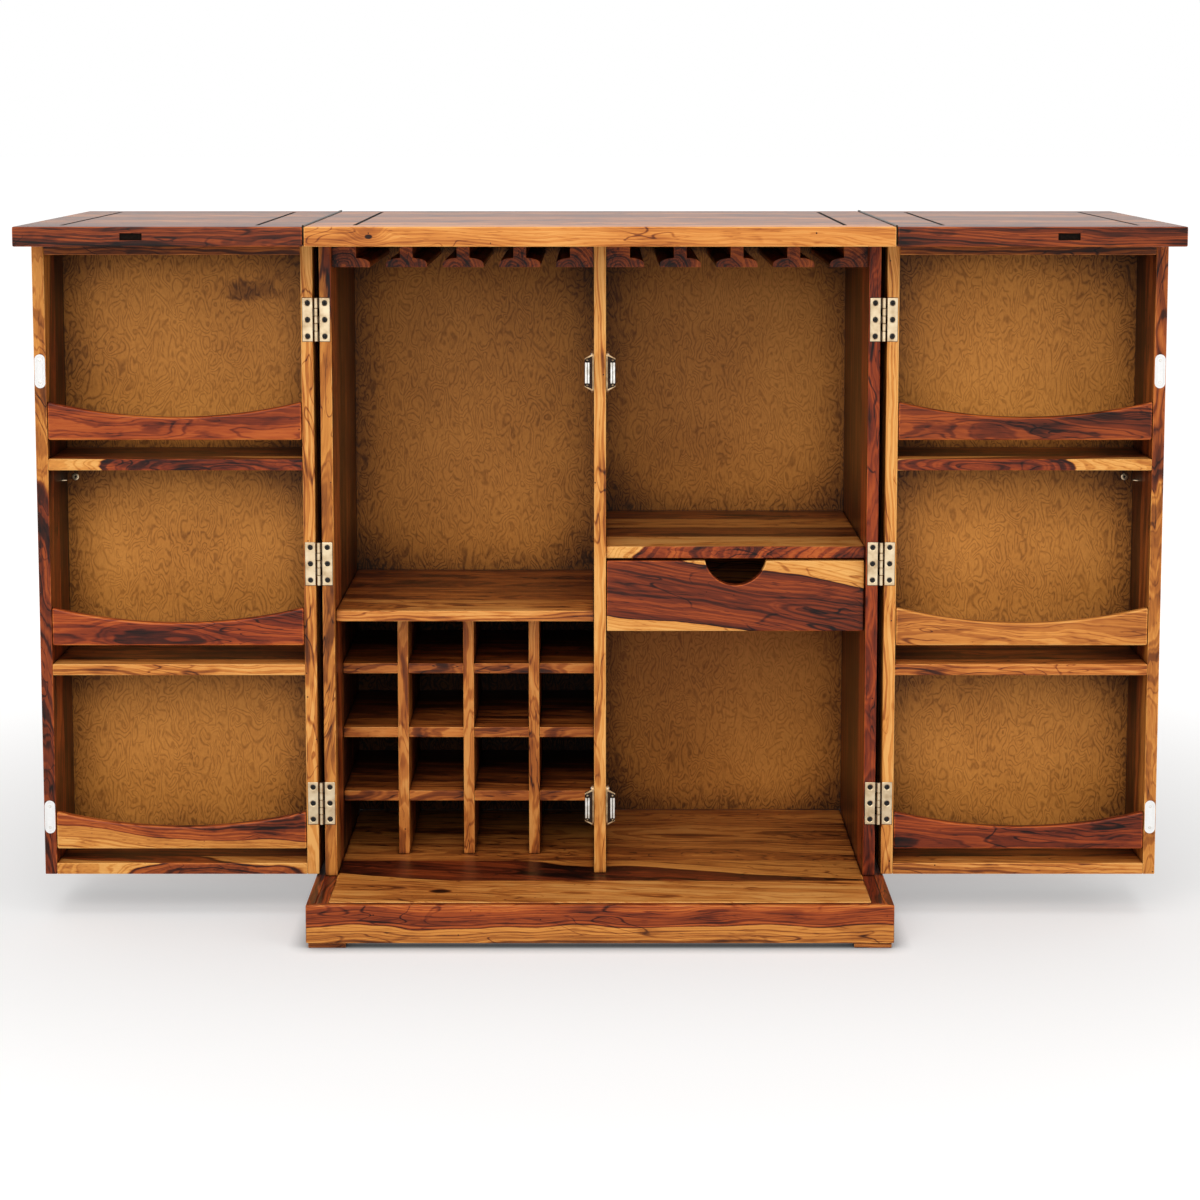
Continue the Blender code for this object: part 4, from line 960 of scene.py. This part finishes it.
# Near-black sheets in the grooves and the wings' slots are painted shade.
groove_shade = two_tone("painted groove shade", 0.8, 0.05, 0.0, 300.0, 2.0, (0.3, 10, 7, 5), (0.75, 30, 20, 14))
RAIL = 0.045
SLOT_X = 0.6325
SLOT_HALF = (0.015, 0.02, 0.00485)
GROOVE_HALF = 0.0030
GROOVE_DEEP = 0.0025
TOP_KNOT = (-0.312, -0.021, 0.0, 0.0036)
PLANKS = 5
CENTRE_GROOVES = (-0.3345, 0.3345)
WING_GROOVES = (0.468, 0.734)
CENTRE_TONES = (0.50, 0.62, 0.52, 0.66, 0.56)
WING_TONES = (0.66, 0.56, 0.70, 0.54, 0.66)
for side, body in ((0, "root"), (-1, "left_wing"), (1, "right_wing")):
    name = f"{body}_top" if side else "centre_top"
    low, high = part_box(name)
    middle = (low.z + high.z) / 2
    grooves = [side * x for x in WING_GROOVES] if side else CENTRE_GROOVES
    front = timber("X", 171, 0.29, (0.03, 0.03), (0.03, 0.02), red=0.25, calm=0.45, knot=TOP_KNOT)
    if side:
        front = timber("X", 171 + side, 0.76, (0.03, 0.03), (0.03, 0.02), red=0.75)
    spans = [(low.y, low.y + RAIL, front)]
    plank = (high.y - low.y - 2 * RAIL) / PLANKS
    for row, dark in enumerate(WING_TONES if side else CENTRE_TONES):
        start = low.y + RAIL + plank * row
        cut = timber("X", 180 + 5 * side + row, dark, (0.0, 0.06), red=0.05, calm=0.4)
        spans.append((start, start + plank, cut))
    spans.append((high.y - RAIL, high.y, timber("X", 174 + side, 0.62, (0.03, 0.03), (0.03, 0.02))))
    shapes = []
    for start, end, cut in spans:
        board = box_shape((low.x, start, low.z), (high.x, end, high.z), 0.002, on_rim(low, high))
        tools = []
        if side and start == low.y:
            tools.append(about((side * SLOT_X, low.y, middle), SLOT_HALF))
        if start > low.y and end < high.y:
            for x in grooves:
                near = (x - GROOVE_HALF, start - 0.01, high.z - GROOVE_DEEP)
                tools.append(box_shape(near, (x + GROOVE_HALF, end + 0.01, high.z + 0.01), 0.0))
        board = sawn(board, tools) if tools else board
        shapes.append(lay_grain(board, cut, ((low.x + high.x) / 2, (start + end) / 2, middle)))
    piece(f"{name}_boards", shapes, rosewood, "dark_rosewood" if side else "light_rosewood", body, name)
    # Near-black sheets on the grooves' floors and in each wing's slot: painted shade.
    floors = []
    for x in grooves:
        near = (x - 0.0029, low.y + RAIL, high.z - 0.0024)
        floors.append(box_shape(near, (x + 0.0029, high.y - RAIL, high.z - 0.0003), 0.0))
    if side:
        near = (side * SLOT_X - 0.0149, low.y + 0.003, middle - 0.0048)
        floors.append(box_shape(near, (near[0] + 0.0298, low.y + 0.0199, middle + 0.0048), 0.0))
    piece(f"{name}_blacking", floors, groove_shade, "dark_rosewood", body)

# Door hinges: three brass butt hinges for each door, with leaves let in flush with the boards' edges.
# Each leaf is countersunk for three black screws, and its knuckles turn on a steel pin.
brass_tones = ((0.3, 176, 150, 116), (0.5, 206, 184, 150), (0.75, 222, 204, 172))
brass = two_tone("pale satin brass", 0.34, 0.5, 1.0, 60.0, 3.0, *brass_tones)
# The darkened brass is the own colour of the top's long hinges, and painted shade on the door hinges' tabs.
aged_brass_and_shade = two_tone("darkened brass and painted shade", 0.4, 0.5, 0.8, 90.0, 3.0, (0.3, 30, 22, 16), (0.7, 66, 50, 34))
black = two_tone("blacked screw", 0.28, 0.5, 0.6, 500.0, 2.0, (0.3, 12, 10, 9), (0.7, 34, 30, 27))


def turned_shape(profile, axis, centre, sides=28):
    """A closed profile of (radius, place along the axis) turned round the axis."""
    shape = bmesh.new()
    rings = []
    for reach, along in profile:
        ring = []
        for step in range(sides):
            angle = 2 * math.pi * step / sides
            at = [reach * math.cos(angle), reach * math.sin(angle)]
            at.insert("XYZ".index(axis), along)
            ring.append(shape.verts.new(Vector(centre) + Vector(at)))
        rings.append(ring)
    for near, far in zip(rings, rings[1:]):
        for step in range(sides):
            after = (step + 1) % sides
            shape.faces.new((near[step], near[after], far[after], far[step])).smooth = True
    shape.faces.new(rings[0])
    shape.faces.new(rings[-1])
    bmesh.ops.recalc_face_normals(shape, faces=shape.faces)
    for edge in shape.edges:
        edge.smooth = edge.calc_face_angle(0.0) < SHARP
    return shape


# The tree makes a round-headed screw with a cross recess, and sets it in rows.
sizes = {"Head radius": "Float", "Dome": "Float", "Start": "Vector", "Facing": "Vector", "Seed": "Int"}
sizes.update({"Count": "Int", "Step": "Vector", "Rows": "Int", "Row step": "Vector", "Look": "Material"})
screw_tree, given, last = new_tree("screws in rows", sizes)
ball = fed(screw_tree, "GeometryNodeMeshUVSphere", {"Segments": 24, "Rings": 12, "Radius": 1.0})
girth = {"X": given["Head radius"], "Y": given["Head radius"], "Z": given["Dome"]}
head = fed(screw_tree, "GeometryNodeTransform", {"Geometry": ball, "Scale": vector(screw_tree, girth)})
long = arith(screw_tree, "MULTIPLY", given["Head radius"], 1.1)
slim = arith(screw_tree, "MULTIPLY", given["Head radius"], 0.26)
tall = arith(screw_tree, "MULTIPLY", given["Dome"], 1.2)
up = vector(screw_tree, {"Z": given["Dome"]})
crossed = add_node(screw_tree, "GeometryNodeMeshBoolean", {"Mesh 1": head}, operation="DIFFERENCE")
for across, along in ((long, slim), (slim, long)):
    size = vector(screw_tree, {"X": across, "Y": along, "Z": tall})
    bar = fed(screw_tree, "GeometryNodeMeshCube", {"Size": size})
    bar = fed(screw_tree, "GeometryNodeTransform", {"Geometry": bar, "Translation": up})
    screw_tree.links.new(bar, crossed.inputs["Mesh 2"])
where = [given[size] for size in ("Count", "Step", "Rows", "Row step", "Start")]
places = grid_points(screw_tree, *where)
turns = {"Seed": given["Seed"], 3: 3.14}
turns = add_node(screw_tree, "FunctionNodeRandomValue", turns, data_type="FLOAT").outputs[1]
spin = vector(screw_tree, {"Z": turns})
facing = {"Points": places, "Instance": crossed.outputs[0], "Rotation": given["Facing"]}
facing = fed(screw_tree, "GeometryNodeInstanceOnPoints", facing)
spun = {"Instances": facing, "Rotation": spin, "Local Space": True}
spun = fed(screw_tree, "GeometryNodeRotateInstances", spun)
whole = fed(screw_tree, "GeometryNodeRealizeInstances", {0: spun})
smooth = fed(screw_tree, "GeometryNodeSetShadeSmooth", {"Geometry": whole})
dressed = fed(screw_tree, "GeometryNodeSetMaterial", {"Geometry": smooth, "Material": given["Look"]})
screw_tree.links.new(dressed, last.inputs[0])
TOWARDS_FRONT = (math.pi / 2, 0.0, 0.0)


def screws(name, slot, body, head, start, look, seed=1, count=1, step=0.0, rows=1, rise=0.0, facing=None):
    """Screws one above another, and such rows again, with heads of (radius, dome)."""
    sizes = {"Head radius": head[0], "Dome": head[1], "Start": start, "Facing": facing or TOWARDS_FRONT}
    sizes.update({"Seed": seed, "Count": count, "Step": (0.0, 0.0, step), "Rows": rows, "Look": look})
    sizes["Row step"] = (0.0, 0.0, rise)
    return grown(name, bpy.data.meshes.new(name), screw_tree, sizes, slot, body)


PIN_X = 0.3995
PIN_Y = -0.131
LEAF_FRONT = -0.1301
LEAF_REAR = -0.1285
LEAF_INNER = 0.0047
LEAF_OUTER = 0.0195
SCREW_LINE = 0.0121
SCREW_STEP = 0.0235
END_KNUCKLE = 0.015
KNUCKLE_GAP = 0.00025
for side, side_name in SIDES:
    for leaf, body in (("carcass", "root"), ("door", f"{side_name}_door")):
        nodes = [f"{side_name}_hinge_{place}_{leaf}_leaf" for place in PLACES]
        low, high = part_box(nodes[0])
        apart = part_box(nodes[1])[0].z - low.z
        middle = (low.z + high.z) / 2
        pin = side * PIN_X
        wing = -side if leaf == "carcass" else side
        near, far = sorted((pin + wing * LEAF_OUTER, pin + wing * LEAF_INNER))
        plate = box_shape((near, LEAF_FRONT, low.z), (far, LEAF_REAR, high.z), 0.0008)
        centre = pin + wing * SCREW_LINE
        sinks = []
        for count in (-1, 0, 1):
            profile = [(0.0062, -0.1330), (0.0046, LEAF_FRONT), (0.0024, -0.1286), (0.0024, -0.1270)]
            sinks.append(turned_shape(profile, "Y", (centre, 0.0, middle + count * SCREW_STEP), 24))
        shapes = [sawn(plate, sinks)]
        tabs = []
        inner = (high.z - low.z - 2 * END_KNUCKLE) / 3
        ends = [low.z + END_KNUCKLE + inner * count for count in range(3)]
        ends = [low.z, *ends, high.z - END_KNUCKLE, high.z]
        for index in range(0 if leaf == "carcass" else 1, 5, 2):
            bottom = ends[index] + KNUCKLE_GAP
            top = ends[index + 1] - KNUCKLE_GAP
            profile = [(0.0019, bottom), (0.0024, bottom + 0.0004), (0.0024, top - 0.0004), (0.0019, top)]
            shapes.append(turned_shape(profile, "Z", (pin, PIN_Y, 0.0)))
            near, far = sorted((pin + wing * 0.0014, pin + wing * 0.0050))
            tabs.append(box_shape((near, PIN_Y + 0.0013, bottom), (far, PIN_Y + 0.0022, top), 0.0))
        name = f"{side_name}_{leaf}_hinge"
        board_grid(f"{name}_leaves", shapes, 1, 0.0, 3, apart, brass, "brass", body, *nodes)
        # The tabs take the darkened brass: painted shade where they sit back beside the knuckles.
        board_grid(f"{name}_tabs", tabs, 1, 0.0, 3, apart, aged_brass_and_shade, "brass", body)
        start = (centre, -0.1292, middle - SCREW_STEP)
        head = (0.0038, 0.0011)
        screws(f"{name}_screws", "black_screw", body, head, start, black, 3 + side, 3, SCREW_STEP, 3, apart)

# Magnetic catches: on each face of the partition, a brown case in a tan plated cradle and foot, with
# two bright steel pole pieces that meet the white strike plates on the doors when these are shut.
zinc = two_tone("zinc plate", 0.32, 0.5, 1.0, 120.0, 3.0, (0.3, 190, 182, 168), (0.7, 232, 230, 226))
tan = two_tone("tan plated steel", 0.36, 0.5, 0.8, 120.0, 3.0, (0.3, 150, 116, 80), (0.7, 204, 176, 136))
moulded = two_tone("brown moulded case", 0.6, 0.15, 0.0, 900.0, 2.0, (0.3, 30, 18, 11), (0.7, 50, 32, 19))
FOOT = 0.0036
FOOT_SCREW = 0.0245
CASE_REACH = 0.013
RIVET = 0.0176


def oblong(centre, reach, low, high, steps):
    """The outline of an upright strip with round ends."""
    outline = arc((centre, high - reach), reach, 0, 180, steps)
    return outline + arc((centre, low + reach), reach, 180, 360, steps)


for side, side_name in SIDES:
    for place in ("lower", "upper"):
        name = f"{side_name}_{place}_catch"
        node = f"catch_{side_name}_{place}"
        low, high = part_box(node)
        wall = low.x if side > 0 else high.x
        middle = (low.z + high.z) / 2
        foot_y = low.y + 0.019
        foot = outline_shape(oblong(foot_y, 0.007, low.z, high.z, 10), "X", wall, wall + side * FOOT, 0.0004)
        piece(f"{name}_foot", [foot], tan, "zinc_steel", "root", node)
        near = wall + side * 0.0021
        far = wall + side * CASE_REACH
        for part, tall, short, front, rear, width, look, slot in (
            ("case", 0.0235, 0.0186, 0.0050, 0.0218, 0.0014, moulded, "black_screw"),
            ("cradle", 0.0262, 0.0202, 0.0066, 0.0082, 0.0003, tan, "zinc_steel"),
        ):
            outline = [(near, middle - tall), (near, middle + tall)]
            outline += [(far, middle + short), (far, middle - short)]
            shape = outline_shape(outline, "Y", low.y + front, low.y + rear, width)
            piece(f"{name}_{part}", [shape], look, slot, "root")
        centre = wall + side * 0.0092
        poles = []
        for offset in (-0.0018, 0.0018):
            start = (centre + offset - 0.0014, low.y, middle - 0.0148)
            poles.append(box_shape(start, (start[0] + 0.0028, low.y + 0.008, middle + 0.0148), 0.0004))
        piece(f"{name}_poles", poles, zinc, "zinc_steel", "root")
        start = (wall + side * FOOT, foot_y - 0.0005, middle - FOOT_SCREW)
        pair = (5 + side, 2, 2 * FOOT_SCREW)
        sideways = (0.0, side * math.pi / 2, 0.0)
        head = (0.0030, 0.0013)
        screws(f"{name}_screws", "zinc_steel", "root", head, start, zinc, *pair, facing=sideways)
        for part, head, look in (("washers", (0.0028, 0.0012), black), ("rivets", (0.0017, 0.0026), brass)):
            start = (centre, low.y + 0.0050, middle - RIVET)
            screws(f"{name}_{part}", "zinc_steel", "root", head, start, look, 8 + side, 2, 2 * RIVET)

# Strike plates: white enamelled steel, oblong, screwed to the front edge of each door's outer side.
enamel = two_tone("white enamel", 0.3, 0.5, 0.0, 300.0, 2.0, (0.3, 230, 230, 229), (0.7, 236, 236, 235))
STRIKE_X = 0.7895
STRIKE_SCREW = 0.0155
for side, side_name in SIDES:
    for place, height in (("lower", 0.1473), ("upper", 0.790)):
        x = side * STRIKE_X
        shapes = []
        for reach, tall, face, rear, width in (
            (0.0075, 0.024, -0.1308, -0.1285, 0.0003),
            (0.0052, 0.0212, -0.1320, -0.1301, 0.0),
            (0.0042, 0.0202, -0.1306, -0.1299, 0.0003),
        ):
            outline = oblong(x, reach, height - tall, height + tall, 16)
            shapes.append(outline_shape(outline, "Y", face, rear, width))
        plate, hollow, raised = shapes
        plate = sawn(plate, [hollow])
        name = f"{side_name}_{place}_strike"
        piece(name, [plate, raised], enamel, "white_enamel", f"{side_name}_door")
        start = (x, -0.1304, height - STRIKE_SCREW)
        head = (0.0026, 0.0004)
        pair = (11 + side, 2, 2 * STRIKE_SCREW)
        screws(f"{name}_screws", "zinc_steel", f"{side_name}_door", head, start, zinc, *pair)

# Back screws of the doors: under each middle shelf one brass cup screw holds the ply, and the tip of
# another comes through the outer side.
CUP_X = 0.769
TIP_X = 0.7815
CUP_HEIGHT = 0.6215
for side, side_name in SIDES:
    door = f"{side_name}_door"
    ply_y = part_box(f"{door}_panel")[0].y
    profile = ((0.0052, 0.0001), (0.0048, -0.0010), (0.0034, -0.0014), (0.0026, -0.0006))
    profile = [(reach, ply_y + along) for reach, along in profile]
    cup = turned_shape(profile, "Y", (side * CUP_X, 0.0, CUP_HEIGHT), 24)
    piece(f"{door}_cup", [cup], brass, "brass", door)
    spot = (side * CUP_X, ply_y - 0.0006, CUP_HEIGHT)
    screws(f"{door}_cup_screw", "black_screw", door, (0.0022, 0.0008), spot, black)
    profile = ((0.0019, 0.0), (0.0019, 0.003), (0.0006, 0.0075))
    profile = [(reach, side * (TIP_X - along)) for reach, along in profile]
    tip = turned_shape(profile, "X", (0.0, -0.030, CUP_HEIGHT), 16)
    piece(f"{door}_screw_tip", [tip], brass, "brass", door)

# Long hinges of the top: a darkened leaf on each side of the seam, with knuckles from front to rear.
for name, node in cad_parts.items():
    if "lid_hinge" in name:
        node.data.materials.clear()
        node.data.materials.append(aged_brass_and_shade)
